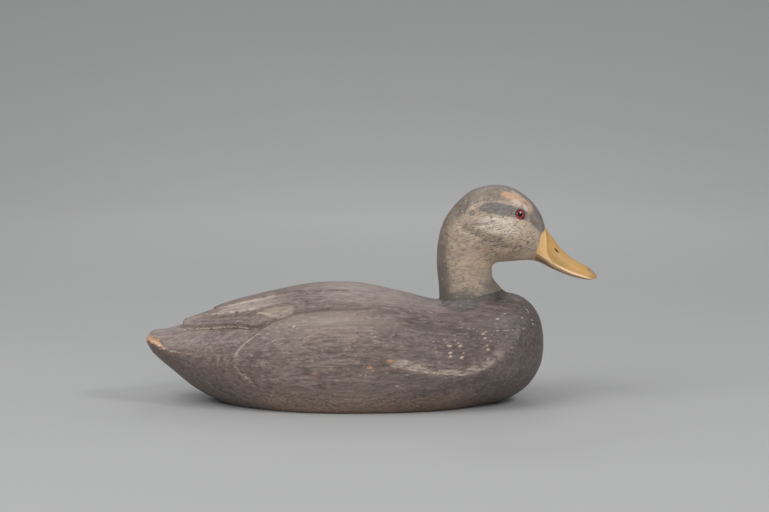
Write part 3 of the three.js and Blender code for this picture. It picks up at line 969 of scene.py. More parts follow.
def laid(tree, colour, layers):
    """Lays paints on a colour in turn. Each is (share or name of a mark, paint, strength)."""
    for share, paint, strength in layers:
        where = mark(tree, share) if isinstance(share, str) else share
        colour = layered(tree, where, colour, paint_colour(*paint), strength)
    return colour


def in_object(tree):
    return put(tree, "TexCoord").outputs["Object"]


def shared(name, inputs, outputs):
    """A node group with named inputs and outputs, for an effect that several finishes use."""
    group = bpy.data.node_groups.new(name, "ShaderNodeTree")
    for label, kind, value in inputs:
        made = group.interface.new_socket(label, in_out="INPUT", socket_type="NodeSocket" + kind)
        if value is not None:
            made.default_value = value
    for label, kind in outputs:
        group.interface.new_socket(label, in_out="OUTPUT", socket_type="NodeSocket" + kind)
    arriving = group.nodes.new("NodeGroupInput")
    leaving = group.nodes.new("NodeGroupOutput")
    return group, arriving.outputs, leaving.inputs


def placed(tree, group, feeds):
    """A shared effect placed in a finish with its own values."""
    return put(tree, "Group", feeds, node_tree=group).outputs


def new_finish(name):
    finish = bpy.data.materials.new(name)
    finish.use_nodes = True
    return finish, finish.node_tree, finish.node_tree.nodes["Principled BSDF"]


def painted(tree, shader, colour, roughness, height, strength, depth):
    """Joins a colour, a roughness and the relief of the paint to the shader."""
    relief = put(tree, "Bump", {"Height": height, "Strength": strength, "Distance": depth})
    feeds = {"Base Color": colour, "Roughness": roughness, "Normal": relief.outputs[0]}
    for name, socket in feeds.items():
        tree.links.new(socket, shader.inputs[name])


print("a mid brown in linear light:", [round(c, 3) for c in paint_colour(110, 95, 85)[:3]])

# %% [markdown]
# ## Effect: grain and brush streaks
# Old paint on softwood shows the wood's long grain, because the soft wood between the growth
# lines has shrunk. Three noises, each stretched far along x, stand for broad bands, brush strokes
# and fine lines. One group gives the streaks as a mask and as a height, and body, head and bare
# wood all use it.

# %% Effect: grain and brush streaks
WANDER = 0.006
grain, come, go = shared(
    "grain streaks",
    [("Vector", "Vector", None), ("Fineness", "Float", 1.0)],
    [("Streaks", "Float"), ("Lines", "Float"), ("Height", "Float")],
)
wander = put(grain, "TexNoise", {"Vector": come["Vector"], "Scale": 9.0, "Detail": 2.0})
feeds = {0: wander.outputs["Color"], 1: (WANDER, WANDER, WANDER)}
bent = put(grain, "VectorMath", feeds, operation="MULTIPLY").outputs[0]
waved = put(grain, "VectorMath", {0: come["Vector"], 1: bent}, operation="ADD").outputs[0]
feeds = {0: waved, "Scale": come["Fineness"]}
finer = put(grain, "VectorMath", feeds, operation="SCALE").outputs[0]
broad = cloudy(grain, stretched(grain, finer, (13, 90, 90)), detail=3.0)
strokes = cloudy(grain, stretched(grain, finer, (34, 290, 290)), detail=3.0)
lines = cloudy(grain, stretched(grain, finer, (60, 560, 560)), detail=2.0, rough=0.6)
bands = maths(grain, "MULTIPLY", broad, 0.4)
both = maths(grain, "ADD", bands, maths(grain, "MULTIPLY", strokes, 0.6))
grain.links.new(between(grain, both, 0.38, 0.62), go["Streaks"])
grain.links.new(between(grain, lines, 0.5, 0.66), go["Lines"])
grain.links.new(maths(grain, "ADD", both, maths(grain, "MULTIPLY", lines, 0.7)), go["Height"])
print("grain group nodes:", len(grain.nodes))

# %% [markdown]
# ## Effect: worn through
# Paint wears off in ragged flecks and not in even bands. The stored mark says how much is gone at
# a place, and a broken noise decides which flecks go first. Where a lot is gone the flecks join
# up.

# %% Effect: worn through
worn, come, go = shared(
    "worn through",
    [
        ("Vector", "Vector", None), ("Amount", "Float", 0.0),
        ("Size", "Float", 0.002), ("Edge", "Float", 0.08),
    ],
    [("Mask", "Float")],
)
per_size = maths(worn, "DIVIDE", 1.0, come["Size"])
long_flecks = stretched(worn, come["Vector"], (0.45, 1, 1))
flecks = cloudy(worn, long_flecks, scale=per_size, detail=4.0, rough=0.65)
even = between(worn, flecks, 0.3, 0.7)
left_over = maths(worn, "SUBTRACT", maths(worn, "ADD", even, come["Amount"]), 1.0)
step = put(worn, "MapRange", {"Value": left_over, "From Min": 0.0, "From Max": come["Edge"]})
worn.links.new(step.outputs[0], go["Mask"])
print("worn group nodes:", len(worn.nodes))

# %% [markdown]
# ## Effect: specks
# Chips, dust and pinholes dot the old paint everywhere. A Voronoi pattern scatters one dot in
# each of its cells, and the cell's own chance number leaves most of them out.

# %% Effect: specks
specks, come, go = shared(
    "specks",
    [("Vector", "Vector", None), ("Size", "Float", 0.004), ("Share", "Float", 0.2)],
    [("Mask", "Float")],
)
per_size = maths(specks, "DIVIDE", 1.0, come["Size"])
longer_cells = stretched(specks, come["Vector"], (0.6, 1, 1))
cells = put(specks, "TexVoronoi", {"Vector": longer_cells, "Scale": per_size})
chance = put(specks, "SeparateColor", {"Color": cells.outputs["Color"]})
dot_size = spread(specks, chance.outputs["Green"], 0.12, 0.36)
off_dot = maths(specks, "DIVIDE", cells.outputs["Distance"], dot_size)
dot = maths(specks, "SUBTRACT", 1.0, off_dot)
chosen = maths(specks, "LESS_THAN", chance.outputs["Red"], come["Share"])
specks.links.new(maths(specks, "MULTIPLY", between(specks, dot, 0.0, 0.5), chosen), go["Mask"])
print("speck group nodes:", len(specks.nodes))

# %% [markdown]
# ## Effect: crackle
# The thick oil paint on the head has dried into fine wavy cracks that run round it. Contour lines
# of a stretched noise have just that shape: they wander, meet and never cross. A second noise
# leaves patches of them out.

# %% Effect: crackle
crackle, come, go = shared(
    "crackle",
    [("Vector", "Vector", None), ("Amount", "Float", 0.5)],
    [("Cracks", "Float")],
)
bands = stretched(crackle, come["Vector"], (84, 170, 345))
ripple = cloudy(crackle, bands, detail=1.0, rough=0.5)
levels = maths(crackle, "FRACT", maths(crackle, "MULTIPLY", ripple, 5.0))
near_level = maths(crackle, "ABSOLUTE", maths(crackle, "SUBTRACT", levels, 0.5))
contour = between(crackle, near_level, 0.17, 0.03)
where = cloudy(crackle, stretched(crackle, come["Vector"], (70, 70, 110)), detail=2.0)
patchy = between(crackle, maths(crackle, "ADD", where, come["Amount"]), 0.85, 1.15)
crackle.links.new(maths(crackle, "MULTIPLY", contour, patchy), go["Cracks"])
print("crackle group nodes:", len(crackle.nodes))

# %% [markdown]
# ## Effect: bare wood
# Where the paint is gone, old pine shows in orange brown, darker in the grain lines. It appears
# at the tail tip, on knocked edges and above the eye, so it is a group that gives one colour.

# %% Effect: bare wood
bare_wood, come, go = shared("bare wood", [("Vector", "Vector", None)], [("Color", "Color")])
wood_grain = placed(bare_wood, grain, {"Vector": come["Vector"], "Fineness": 1.3})
honey = two_paints(bare_wood, wood_grain["Streaks"], (236, 192, 154), (212, 152, 106))
old_pine = laid(bare_wood, honey, [(wood_grain["Lines"], (150, 94, 62), 1.0)])
bare_wood.links.new(old_pine, go["Color"])
print("bare wood group nodes:", len(bare_wood.nodes))

# %% [markdown]
# ## Marks on the body
# The paint follows the carving, so its layers are stored as marks on the points of the mesh: worn
# edges along the knife lines, the pale wing patch and bare wood at the tail tip. Painted light is
# stored the same way: a painted highlight on the upper flank and along the breast roll, and painted
# shade near the floor, under the tail, over the breast and in the grooves. Nicks with the wood
# stained round them, knocks and scratches are listed where the photograph shows them on the right
# side. The left side isn't seen, so it gets nicks and knocks of the same kind from a seeded
# scatter.

# %% Distances to the knife lines
x, turn = body_x, body_round
right = body_side >= 0
arc = side_arc(x)
from_wing = above(wing_edge, x, turn)
from_tertial = above(tertial_edge, x, turn)
from_mantle = above(mantle_edge, x, turn)
from_flank = x - flank_rear(turn) + 0.7 * unevenness(body_points, (7, 7, 7), 7)
below_wing = 1 - smooth(-1, 0.5, from_wing)
print("points above the wing edge:", int((from_wing > 0).sum()))

# %% Marks on the body: patches
patch_top = batten([
    (106, 0.62), (112, 0.65), (120, 0.672), (132, 0.662), (142, 0.642), (152, 0.615),
])
patch_foot = batten([
    (106, 0.61), (112, 0.6), (119, 0.56), (127, 0.535), (137, 0.54), (147, 0.575), (152, 0.6),
])
from_patch_foot = (turn - patch_foot(x)) * arc
wing_patch = (
    smooth(-1.6, 2.4, (patch_top(x) - turn) * arc) * smooth(-1.4, 1.6, from_patch_foot)
    * smooth(106, 118, x) * (1 - smooth(138, 151, x))
)
patch_green = wing_patch * smooth(128, 142, x)
patch_rim = (
    bump(from_patch_foot, 0.4, 1.2) * smooth(106, 110, x) * (1 - smooth(118, 124, x))
    + 0.45 * bump(from_patch_foot, -0.4, 0.9) * smooth(118, 124, x) * (1 - smooth(136, 144, x))
)
tail_lip = batten([
    (-2, 0.5), (2.3, 0.31), (4.2, 0.2), (8.9, 0.17), (13.5, 0.12), (18.2, 0.0), (24.8, -0.03),
    (33, 0.02), (60, 0.03),
])
from_lip = (turn - tail_lip(x)) * arc
tail_wood = 1.5 * bump(from_lip, 1.4, 5.4) * (1 - smooth(14, 23, x)) + 0.8 * (1 - smooth(0, 3, x))
tail_cream = bump(from_lip, 0.8, 3.4) * smooth(6, 16, x) * (1 - smooth(28, 44, x))
tail_cream += 1.2 * bump(from_lip, 1.4, 1.8) * (1 - smooth(8, 14, x))
brown_low = smooth(0.12, -0.3, turn) * smooth(60, 130, x) * (1 - smooth(250, 320, x))
shine_line = batten([
    (225, 0.09), (236, 0.04), (247, 0.03), (259, -0.005), (274, -0.028), (290, -0.058),
    (302, -0.085), (311, -0.075), (318, -0.075), (324, -0.05), (328, -0.022), (333, 0.016),
    (343, 0.07), (352, 0.16),
])
from_shine = (turn - shine_line(x)) * arc
# Painted highlight: a broad pale band along the crest of the breast roll, where it faces the light.
roll_highlight = bump(from_shine, 2.0, 4.6) * smooth(226, 244, x) * (1 - smooth(322, 350, x))
shine_edge = 1.3 * bump(from_shine, 0.0, 1.1) * smooth(232, 238, x) * (1 - smooth(300, 308, x))
shine_edge += 0.8 * bump(from_shine, 5.5, 1.2) * smooth(236, 246, x) * (1 - smooth(262, 276, x))
shine_edge += 0.7 * bump(from_shine, 2.8, 0.9) * smooth(240, 250, x) * (1 - smooth(280, 292, x))
shine_edge += 0.5 * bump(from_shine, 0.3, 1.6) * smooth(300, 308, x) * (1 - smooth(334, 346, x))
# Painted highlight on the upper flank and the breast, where the rounded sides face the light.
flank_highlight = (
    bump(turn, 0.43, 0.09) * bump(x, 180, 52)
    + 0.45 * bump(turn, -0.14, 0.12) * bump(x, 242, 45)
    + 0.35 * bump(turn, -0.12, 0.15) * bump(x, 335, 30)
    + 0.3 * bump(turn, 0.43, 0.1) * bump(x, 338, 16)
)
bleached = (
    0.36 * smooth(0.5, 0.75, turn) * smooth(150, 190, x) * (1 - smooth(300, 330, x))
    + 0.95 * smooth(0, 2, from_tertial) * (1 - smooth(-1.5, 1, from_mantle)) * smooth(62, 80, x)
    * (1 - smooth(105, 150, x))
    + 0.35 * smooth(0.1, 0.4, turn) * (1 - smooth(40, 80, x))
)
upper_breast = 0.45 * smooth(0.62, 0.8, turn) * (1 - smooth(290, 320, x))
# Painted shade over the breast and the shoulders, weaker on the upper breast.
breast_shade = smooth(200, 274, x) * (1 - upper_breast)
# Painted shade on the front of the breast, which faces away from the key light, and higher up
# towards the neck.
breast_front_shade = smooth(342, 374, x) + 0.6 * smooth(318, 336, x) * smooth(0.5, 0.75, turn)
# Painted shade under the tail.
under_tail_shade = (1 - smooth(60, 130, x)) * smooth(0.06, -0.1, turn)
from_floor = body_points[:, 2]
low_shade = 0.4 * (1 - smooth(5, 15, from_floor)) + 0.6 * (1 - smooth(0.8, 3, from_floor))
neck_foot_edge = batten([
    (276, 1.05), (282, 0.93), (284, 0.83), (290.5, 0.74), (298, 0.68), (306, 0.645), (312, 0.665),
    (319, 0.71), (325, 0.75), (332, 0.8), (345, 0.82),
])
from_neck_foot = (turn - neck_foot_edge(x)) * arc
neck_foot = smooth(-7, 1, from_neck_foot) * smooth(272, 282, x) * (1 - smooth(326, 342, x))
neck_shade = smooth(0.6, 0.8, turn) * smooth(316, 328, x) * (1 - smooth(342, 356, x))
print("points on the wing patch:", int((wing_patch > 0.5).sum()))

# %% Marks on the body: worn edges and painted shade in the grooves
from_shaft = (turn - 0.79 + 0.0004 * (x - 70)) * arc
along_flank = smooth(0.06, 0.13, turn) * (1 - 0.5 * smooth(0.3, 0.36, turn))
along_flank *= 1 - smooth(0.44, 0.48, turn)
worn_edges = (
    1.1 * bump(from_wing, -0.6, 0.55) * smooth(34, 40, x) * (1 - smooth(96, 104, x))
    + 0.9 * bump(from_tertial, 0.5, 0.9) * smooth(54, 60, x) * (1 - smooth(104, 114, x))
    + 0.8 * bump(from_mantle, -1.0, 1.3) * smooth(64, 76, x) * (1 - smooth(112, 130, x))
    + 0.6 * bump(from_shaft, 0, 1) * smooth(66, 74, x) * (1 - smooth(90, 100, x))
    + bump(from_flank, 1.4, 1.9) * along_flank
    + 1.3 * bump(from_flank, 1.4, 2.6) * bump(turn, -0.11, 0.085)
    + patch_rim
)
# Painted shade in the grooves and under the carved steps: below the wing tips, above the flank,
# under the tertials, in the feather splits and behind the flank's rear edge.
groove_shade = (
    bump(from_wing, -1.8, 1.1) * smooth(33, 38, x) * (1 - smooth(99, 106, x))
    + 0.34 * bump(from_wing, 0.8, 1.2) * smooth(33, 38, x) * (1 - smooth(96, 104, x))
    + 0.45 * bump(from_wing, -1.5, 2.6) * smooth(102, 114, x) * (1 - smooth(160, 230, x))
    + 0.5 * bump(from_tertial, -0.9, 0.8) * smooth(56, 64, x) * (1 - smooth(120, 150, x))
    + 0.4 * feather_splits(x, turn)
    + 0.3 * bump(from_mantle, 0.9, 0.9) * smooth(70, 80, x) * (1 - smooth(150, 240, x))
    + 0.3 * bump(from_flank, -1.6, 1.2) * below_wing * smooth(0.1, 0.2, turn)
    * (1 - smooth(0.44, 0.5, turn))
)
print("points with a worn edge:", int((worn_edges > 0.4).sum()))

# %% Marks on the body: nicks
NICKS = [
    (274.9, 0.301), (276.5, 0.215), (277, 0.167, 0.8), (284.8, 0.324, 0.9), (287.6, 0.284),
    (288.6, 0.244, 0.8), (290.2, 0.224, 1.4), (290.5, 0.141, 1.5), (290.4, 0.1, 1.3),
    (295, 0.291, 0.8), (298.2, 0.247), (299.9, 0.2, 1.4), (302.4, 0.112), (300.9, 0.071, 1.4),
    (321.7, 0.288, 1.2), (323.3, 0.233, 1.2), (325, 0.151, 0.9), (325.8, 0.106, 1.2),
    (325.4, 0.023, 0.8), (312, 0.38, 0.7), (335.2, 0.446, 1.3), (341.9, 0.505, 0.8),
    (364.2, 0.637), (365.7, 0.606), (368.9, 0.48), (369.9, 0.419), (359.1, 0.456, 0.9),
    (359.5, 0.299, 0.8), (216.6, 0.308), (219.7, 0.286, 0.7), (236.4, 0.323, 0.8),
    (236.3, 0.254, 0.9), (36, 0.66, 1.2), (143.5, 0.395, 1.3), (205.8, -0.028),
    (210.7, -0.028, 0.8), (278.3, -0.035, 1.3), (240.2, -0.129, 1.2), (249.3, -0.029, 0.9),
]
KNOCKS = [
    (215.4, 0.026, 1.5), (216.6, -0.003, 1.2), (233.6, 0.08, 1.5), (236.5, 0.045, 1.3),
    (240, 0.024, 0.8),
]
PALE_SCRATCHES = [
    ((117.8, 0.239), (128.1, 0.284), 1.3), ((157, 0.283), (165.2, 0.318), 1.1),
    ((246.2, 0.087), (250.5, 0.071), 1.1), ((323, 0.312), (349, 0.278), 0.55),
    ((236.5, 0.044), (259, 0.008), 1.2),
]
RED_PATCH = (164, -0.033, 4.2)
LEFT_SEED = 1931
random = np.random.default_rng(LEFT_SEED)
left_nicks = [
    (nick[0] + random.normal(0, 9), nick[1] + random.normal(0, 0.07)) for nick in NICKS[8:28]
]
left_knocks = [
    (random.uniform(150, 330), random.uniform(-0.1, 0.3), random.uniform(1.2, 3))
    for _ in range(6)
]


def spots(places, side_mask, radius=1.0, longer=1.4):
    """1 at the middle of each nick, fading to 0 a little outside its radius in millimetres."""
    made = np.zeros_like(x)
    for place in places:
        reach = place[2] if len(place) > 2 else radius
        away = np.hypot((x - place[0]) / longer, (turn - place[1]) * arc)
        made = np.maximum(made, np.clip(1.4 - away / reach, 0, 1))
    return made * side_mask


def scratches(places, side_mask):
    """1 along each scratch from end to end, fading across its width in millimetres."""
    made = np.zeros_like(x)
    for (x0, turn0), (x1, turn1), wide in places:
        share = np.clip((x - x0) / (x1 - x0), 0, 1)
        away = np.hypot(x - mix(x0, x1, share), (turn - mix(turn0, turn1, share)) * arc)
        made = np.maximum(made, np.clip(1.3 - away / wide, 0, 1))
    return made * side_mask


nicks = spots(NICKS, right, 0.8) + spots(left_nicks, ~right, 0.8)
stained = spots([nick[:2] for nick in NICKS[:18]], right, 2.6) + spots(left_nicks, ~right, 2.6)
pale_scratches = scratches(PALE_SCRATCHES, right)
knocks = spots(KNOCKS, right, longer=2.4) + spots(left_knocks, ~right, longer=2.4)
red_patch = spots([RED_PATCH], right)
rust = smooth(-0.05, -0.4, turn) * smooth(90, 130, x) * (1 - smooth(290, 340, x))
rust += 0.5 * bump(turn, 0.24, 0.1) * bump(x, 196, 16)
on_left = len(left_nicks) + len(left_knocks)
print("nicks on the right:", len(NICKS) + len(KNOCKS), "on the left:", on_left)

# %% Store the body's marks


def store(piece, marks):
    """Writes marks of 0 to 1 on the points of a piece."""
    for name, values in marks.items():
        made = piece.data.attributes.new(name, "FLOAT", "POINT")
        made.data.foreach_set("value", np.clip(values, 0, 1).astype(np.float32))


store(body, {
    "worn_edges": worn_edges, "groove_shade": groove_shade, "wing_patch": wing_patch,
    "patch_green": patch_green, "tail_wood": tail_wood, "knocks": knocks,
    "tail_cream": tail_cream, "brown_low": brown_low, "roll_highlight": roll_highlight,
    "shine_edge": shine_edge, "flank_highlight": flank_highlight, "bleached": bleached,
    "breast_shade": breast_shade, "breast_front_shade": breast_front_shade, "under_tail_shade": under_tail_shade,
    "low_shade": low_shade, "neck_foot": neck_foot, "neck_shade": neck_shade, "nicks": nicks,
    "stained": stained, "pale_scratches": pale_scratches, "red_patch": red_patch, "rust": rust,
})
print("marks on the body:", [a.name for a in body.data.attributes if a.data_type == "FLOAT"])

# %% [markdown]
# ## Finish: the body's old paint
# From the wood up: a dark purplish brown, greyed where it has bleached along the grain, browner
# and rubbed near the bottom, with a painted highlight on the upper flank and painted shade under
# the tail, over the breast, near the floor and by the neck. Then painted shade in the grooves and
# under the carved steps, a painted highlight along the breast roll, the pale green wing patch,
# cream priming where edges are worn, and bare wood where they are worn through. Each layer is one
# line that lays a colour over the ones before it. The three helpers work on whichever finish is
# being made, so the head uses them too.

# %% Finish: the body's old paint
body_paint, tree, shader = new_finish("old dark paint")
spot = in_object(tree)


def share_of(name, amount=1.0):
    """A stored mark, weakened."""
    return maths(tree, "MULTIPLY", mark(tree, name), amount)


def broken(name, amount, size, edge):
    """A stored mark that wears through in flecks."""
    feeds = {"Vector": spot, "Amount": share_of(name, amount), "Size": size, "Edge": edge}
    return placed(tree, worn, feeds)["Mask"]


def scattered(size, share, shift=None):
    """Specks all over the piece. A shift of the pattern puts them in other places."""
    vector = stretched(tree, spot, shift) if shift else spot
    return placed(tree, specks, {"Vector": vector, "Size": size, "Share": share})["Mask"]


streaks = placed(tree, grain, {"Vector": spot, "Fineness": 1.0})
clouds = cloudy(tree, stretched(tree, spot, (22, 40, 40)), detail=4.0, rough=0.6)
fine = cloudy(tree, stretched(tree, spot, (120, 420, 420)), detail=3.0, rough=0.75)
brushed = cloudy(tree, stretched(tree, spot, (40, 420, 420)), detail=3.0)
# The painted highlight along the breast roll, broken into streaks.
shine = maths(tree, "MULTIPLY", mark(tree, "roll_highlight"), between(tree, brushed, 0.36, 0.6))
edges = maths(tree, "MULTIPLY", mark(tree, "worn_edges"), between(tree, fine, 0.36, 0.52))
colour = two_paints(tree, streaks["Streaks"], (110, 96, 92), (146, 129, 121))
colour = laid(tree, colour, [
    (between(tree, clouds, 0.4, 0.62), (124, 108, 98), 0.6),
    (between(tree, fine, 0.54, 0.66), (168, 152, 142), 0.62),
    (between(tree, fine, 0.46, 0.34), (78, 67, 64), 0.62),
    ("bleached", (190, 174, 166), 0.72),
    (streaks["Lines"], (78, 67, 65), 0.45),
    (broken("brown_low", 0.8, 0.005, 0.7), (128, 108, 96), 0.65),
    (broken("rust", 0.8, 0.0016, 0.35), (172, 147, 124), 0.7),
    # painted highlight on the upper flank and the breast
    ("flank_highlight", (172, 158, 146), 0.5),
    # painted shade under the tail
    ("under_tail_shade", (92, 78, 72), 0.4),
])
# Painted shade over the breast, near the floor, on the breast's front and by the neck.
colour = shaded(tree, mark(tree, "breast_shade"), colour, (0.71, 0.71, 0.74, 1))
colour = shaded(tree, mark(tree, "low_shade"), colour, (0.62, 0.6, 0.62, 1))
colour = shaded(tree, mark(tree, "breast_front_shade"), colour, (0.85, 0.9, 0.9, 1))
colour = shaded(tree, mark(tree, "neck_shade"), colour, (0.5, 0.47, 0.47, 1))
colour = laid(tree, colour, [
    (broken("neck_foot", 1.5, 0.004, 1.4), (82, 79, 75), 0.85),
    (broken("stained", 0.9, 0.003, 0.8), (128, 104, 84), 0.6),
    (scattered(0.0042, 0.4), (72, 62, 60), 0.45),
    (scattered(0.0046, 0.3, (1.1, 1.2, 1.3)), (172, 154, 140), 0.45),
    # painted highlight along the breast roll
    (shine, (186, 169, 156), 0.75),
    # painted shade in the grooves and under the carved steps
    ("groove_shade", (52, 42, 40), 0.9),
])
patch = two_paints(tree, mark(tree, "patch_green"), (174, 154, 138), (166, 158, 136))
patch = laid(tree, patch, [(streaks["Streaks"], (182, 166, 148), 0.5)])
colour = layered(tree, broken("wing_patch", 1.25, 0.003, 1.2), colour, patch, 0.8)
colour = laid(tree, colour, [
    (broken("red_patch", 1.1, 0.003, 0.6), (150, 96, 86), 0.5),
    (broken("knocks", 1.0, 0.0022, 0.6), (206, 146, 104), 0.85),
    (edges, (212, 192, 174), 0.85),
])
through = broken("tail_wood", 1.0, 0.002, 0.4)
colour = layered(tree, through, colour, placed(tree, bare_wood, {"Vector": spot})["Color"])
amount = maths(tree, "MAXIMUM", mark(tree, "pale_scratches"), mark(tree, "shine_edge"))
amount = maths(tree, "MAXIMUM", amount, share_of("tail_cream", 0.85))
rubbed = placed(tree, worn, {"Vector": spot, "Amount": amount, "Size": 0.0016, "Edge": 0.6})
cream = maths(tree, "MAXIMUM", rubbed["Mask"], between(tree, mark(tree, "nicks"), 0.15, 0.85))
colour = laid(tree, colour, [(cream, (206, 187, 171), 0.82)])
chips = maths(tree, "MAXIMUM", cream, through)
height = maths(tree, "SUBTRACT", streaks["Height"], maths(tree, "MULTIPLY", chips, 0.8))
painted(tree, shader, colour, spread(tree, streaks["Streaks"], 0.42, 0.6), height, 0.7, 0.0005)
shader.inputs["Specular IOR Level"].default_value = 0.42
body.data.materials.append(body_paint)
print("body paint nodes:", len(tree.nodes))

# %% [markdown]
# ## Marks on the head
# The head is beige with a grey crown, a dark stripe through the eye, a warm brow worn pale in the
# middle, and a mottled nape and foot. The cheek is paler and carries a painted highlight where it
# swells, the neck is pale and its front and the throat are lighter still as painted light, and a
# painted shade lies under the line of the cheek. A small ring, a tick and a crack on the right side
# are drawn like pen lines. The bill is ochre with a darker nail; its side wall, its lip and the
# edge of its lower half carry painted highlights, and its lower half is darker as painted shade.
# All of these are drawn by the same fair curves, now as a turn for each u.

# %% Marks on the head
EYE_STEP = 17.5
NECK_STEP = 17
u, turn = head_u, head_turn
arc = head_arc(u)
cap_edge = batten([
    (3, 0.9), (5.03, 0.86), (5.86, 0.83), (6.62, 0.82), (7.63, 0.8), (8.22, 0.73), (8.61, 0.68),
    (9.0, 0.6), (9.4, 0.54), (9.94, 0.5), (10.4, 0.42),
])
stripe_top = batten([
    (5.4, 0.4), (5.9, 0.39), (6.15, 0.43), (6.34, 0.45), (6.66, 0.44), (7.06, 0.42), (7.47, 0.4),
    (8, 0.4), (8.8, 0.42), (9.8, 0.5),
])
stripe_foot = batten([
    (5.4, 0.38), (5.82, 0.33), (6.35, 0.25), (6.9, 0.215), (7.5, 0.2), (8.27, 0.2), (8.96, 0.22),
    (9.9, 0.32),
])
bill = bill_mask(u, turn)
feathers = 1 - bill
from_cap = (turn - cap_edge(u)) * arc
cap = smooth(-2, 2.5, from_cap) * smooth(4.2, 6.4, u) * feathers
from_crown = (turn - 0.5 + 0.05 * smooth(5.8, 6.6, u)) * arc
crown = smooth(-2, 3, from_crown) * smooth(4.2, 5.6, u) * (1 - smooth(7.5, 8.1, u))
under_top = smooth(-1.6, 1.6, (stripe_top(u) - turn) * arc)
over_foot = smooth(-1.6, 1.6, (turn - stripe_foot(u)) * arc)
stripe = under_top * over_foot * feathers * smooth(5.5, 6.2, u) * (1 - 0.55 * smooth(8.4, 8.9, u))
stripe_blue = bump(u, 6.95, 0.75) * bump((turn - 0.37) * arc, 0, 2.6)
forehead = smooth(8.7, 9.4, u) * smooth(0.22, 0.34, turn) * feathers
mottle = np.clip(
    0.3 + 0.5 * smooth(0.4, 0.95, turn) * (1 - smooth(4.8, 6.4, u))
    + 0.75 * (1 - smooth(0.1, 1.5, u))
    + 0.35 * bump(u, 5.3, 0.9) * bump(turn, 0.02, 0.2), 0, 1,
)
nape_dark = smooth(0.25, 0.62, turn) * (1 - smooth(2.2, 3.6, u))
nape_dark += 0.7 * smooth(0.32, 0.66, turn) * bump(u, 4.1, 1.9)
from_seat = u - 0.4 * smooth(-0.12, -0.45, turn)
foot_dark = (1 - smooth(0.1, 1.2, from_seat)) * (0.8 + 0.2 * smooth(0, 0.5, turn))


def daub(middle, long, high):
    """1 in an oval of paint on both sides of the head, sizes in millimetres."""
    away = np.hypot((u - middle[0]) * EYE_STEP / long, (turn - middle[1]) * arc / high)
    return 1 - smooth(0.55, 1.25, away)


brow_pale = np.maximum(daub((8.05, 0.485), 6.2, 3.0), daub((8.62, 0.475), 3.4, 3.2))
brow_wood = np.maximum(daub((7.55, 0.6), 7.0, 4.2), 0.85 * daub((8.2, 0.575), 8.0, 3.4))
brow_warm = smooth(7.0, 7.6, u) * (1 - smooth(8.9, 9.3, u)) * bump(turn, 0.57, 0.12)
brow_red = daub((8.62, 0.56), 3.0, 2.4)
# Pale cheek paint, with a painted highlight where the cheek swells towards the light.
cheek_pale_and_highlight = bump(u, 6.6, 1.5) * bump(turn, 0.08, 0.13) + daub((6.22, 0.046), 3.0, 2.4)
cheek_warm = bump(u, 8.7, 1.3) * bump(turn, 0.0, 0.24)
cheek_warm += 0.7 * bump(turn, -0.3, 0.2) * smooth(4.6, 6, u)
# Pale neck paint, lighter down the front of the neck and the throat as painted light.
neck_pale_and_lit = bump(u, 2.7, 1.4) * bump(turn, -0.32, 0.42)
neck_pale_and_lit += 0.8 * smooth(-0.2, -0.7, turn) * feathers * smooth(1.6, 2.6, u)
neck_low = bump(u, 1.4, 1.1)
cheek_line = batten([
    (3.6, 0.48), (4.5, 0.292), (4.87, 0.102), (5.26, -0.039), (6.32, -0.163), (7.89, -0.211),
    (9.45, -0.225),
])
from_cheek = (turn - cheek_line(u)) * arc
# Painted shade under the line of the cheek.
cheek_line_shade = bump(from_cheek, -1, 7.5) * smooth(4, 4.8, u) * (1 - 0.6 * smooth(6.2, 7.4, u))
cheek_line_shade *= feathers
lined = np.maximum(0.75 * bump(turn, -0.12, 0.42) * smooth(3.4, 5.4, u) * feathers, cheek_line_shade)
lined *= 1 - 0.3 * smooth(8.5, 9.8, u)
pink_chin = daub((4.56, -0.3), 6.5, 4.5)
ring_mark = bump(np.hypot((u - 5.42) * NECK_STEP, (turn - 0.38) * arc), 2.0, 0.6)
tick_line = batten([(4.9, 0.43), (5.18, 0.524), (5.57, 0.648)])
dark_tick = bump((turn - tick_line(u)) * arc, 0, 1.3) * smooth(4.95, 5.05, u)
dark_tick *= 1 - smooth(5.5, 5.6, u)
crack_line = batten([(0.0, 3.9), (0.29, 3.63), (0.56, 3.57), (0.8, 3.6)])
neck_crack = bump((u - crack_line(turn)) * NECK_STEP, 0, 0.7)
neck_crack *= smooth(0, 0.1, turn) * (1 - smooth(0.6, 0.7, turn))
pen_marks = (ring_mark + dark_tick + 0.7 * neck_crack) * (head_side >= 0)
# Painted highlight: the bill's side wall is paler where it faces the light.
side_wall_highlight = (
    bill * smooth(0.1, -0.12, u - ridge_upright(turn)) * smooth(-0.02, 0.1, turn - mouth_line(u))
    * (1 - smooth(0.66, 0.76, turn))
)
from_mouth = (turn - mouth_line(u)) * arc
# Painted highlight along the lip of the upper bill, just above the mouth line.
lip = bill * smooth(-0.2, 0.5, from_mouth) * (1 - smooth(1.8, 3.4, from_mouth))
lip *= smooth(9.7, 10.2, u)
# Painted shade on the lower half of the bill, below the mouth line.
lower_bill_shade = smooth(0.3, -0.5, from_mouth) * smooth(9.5, 9.8, u)
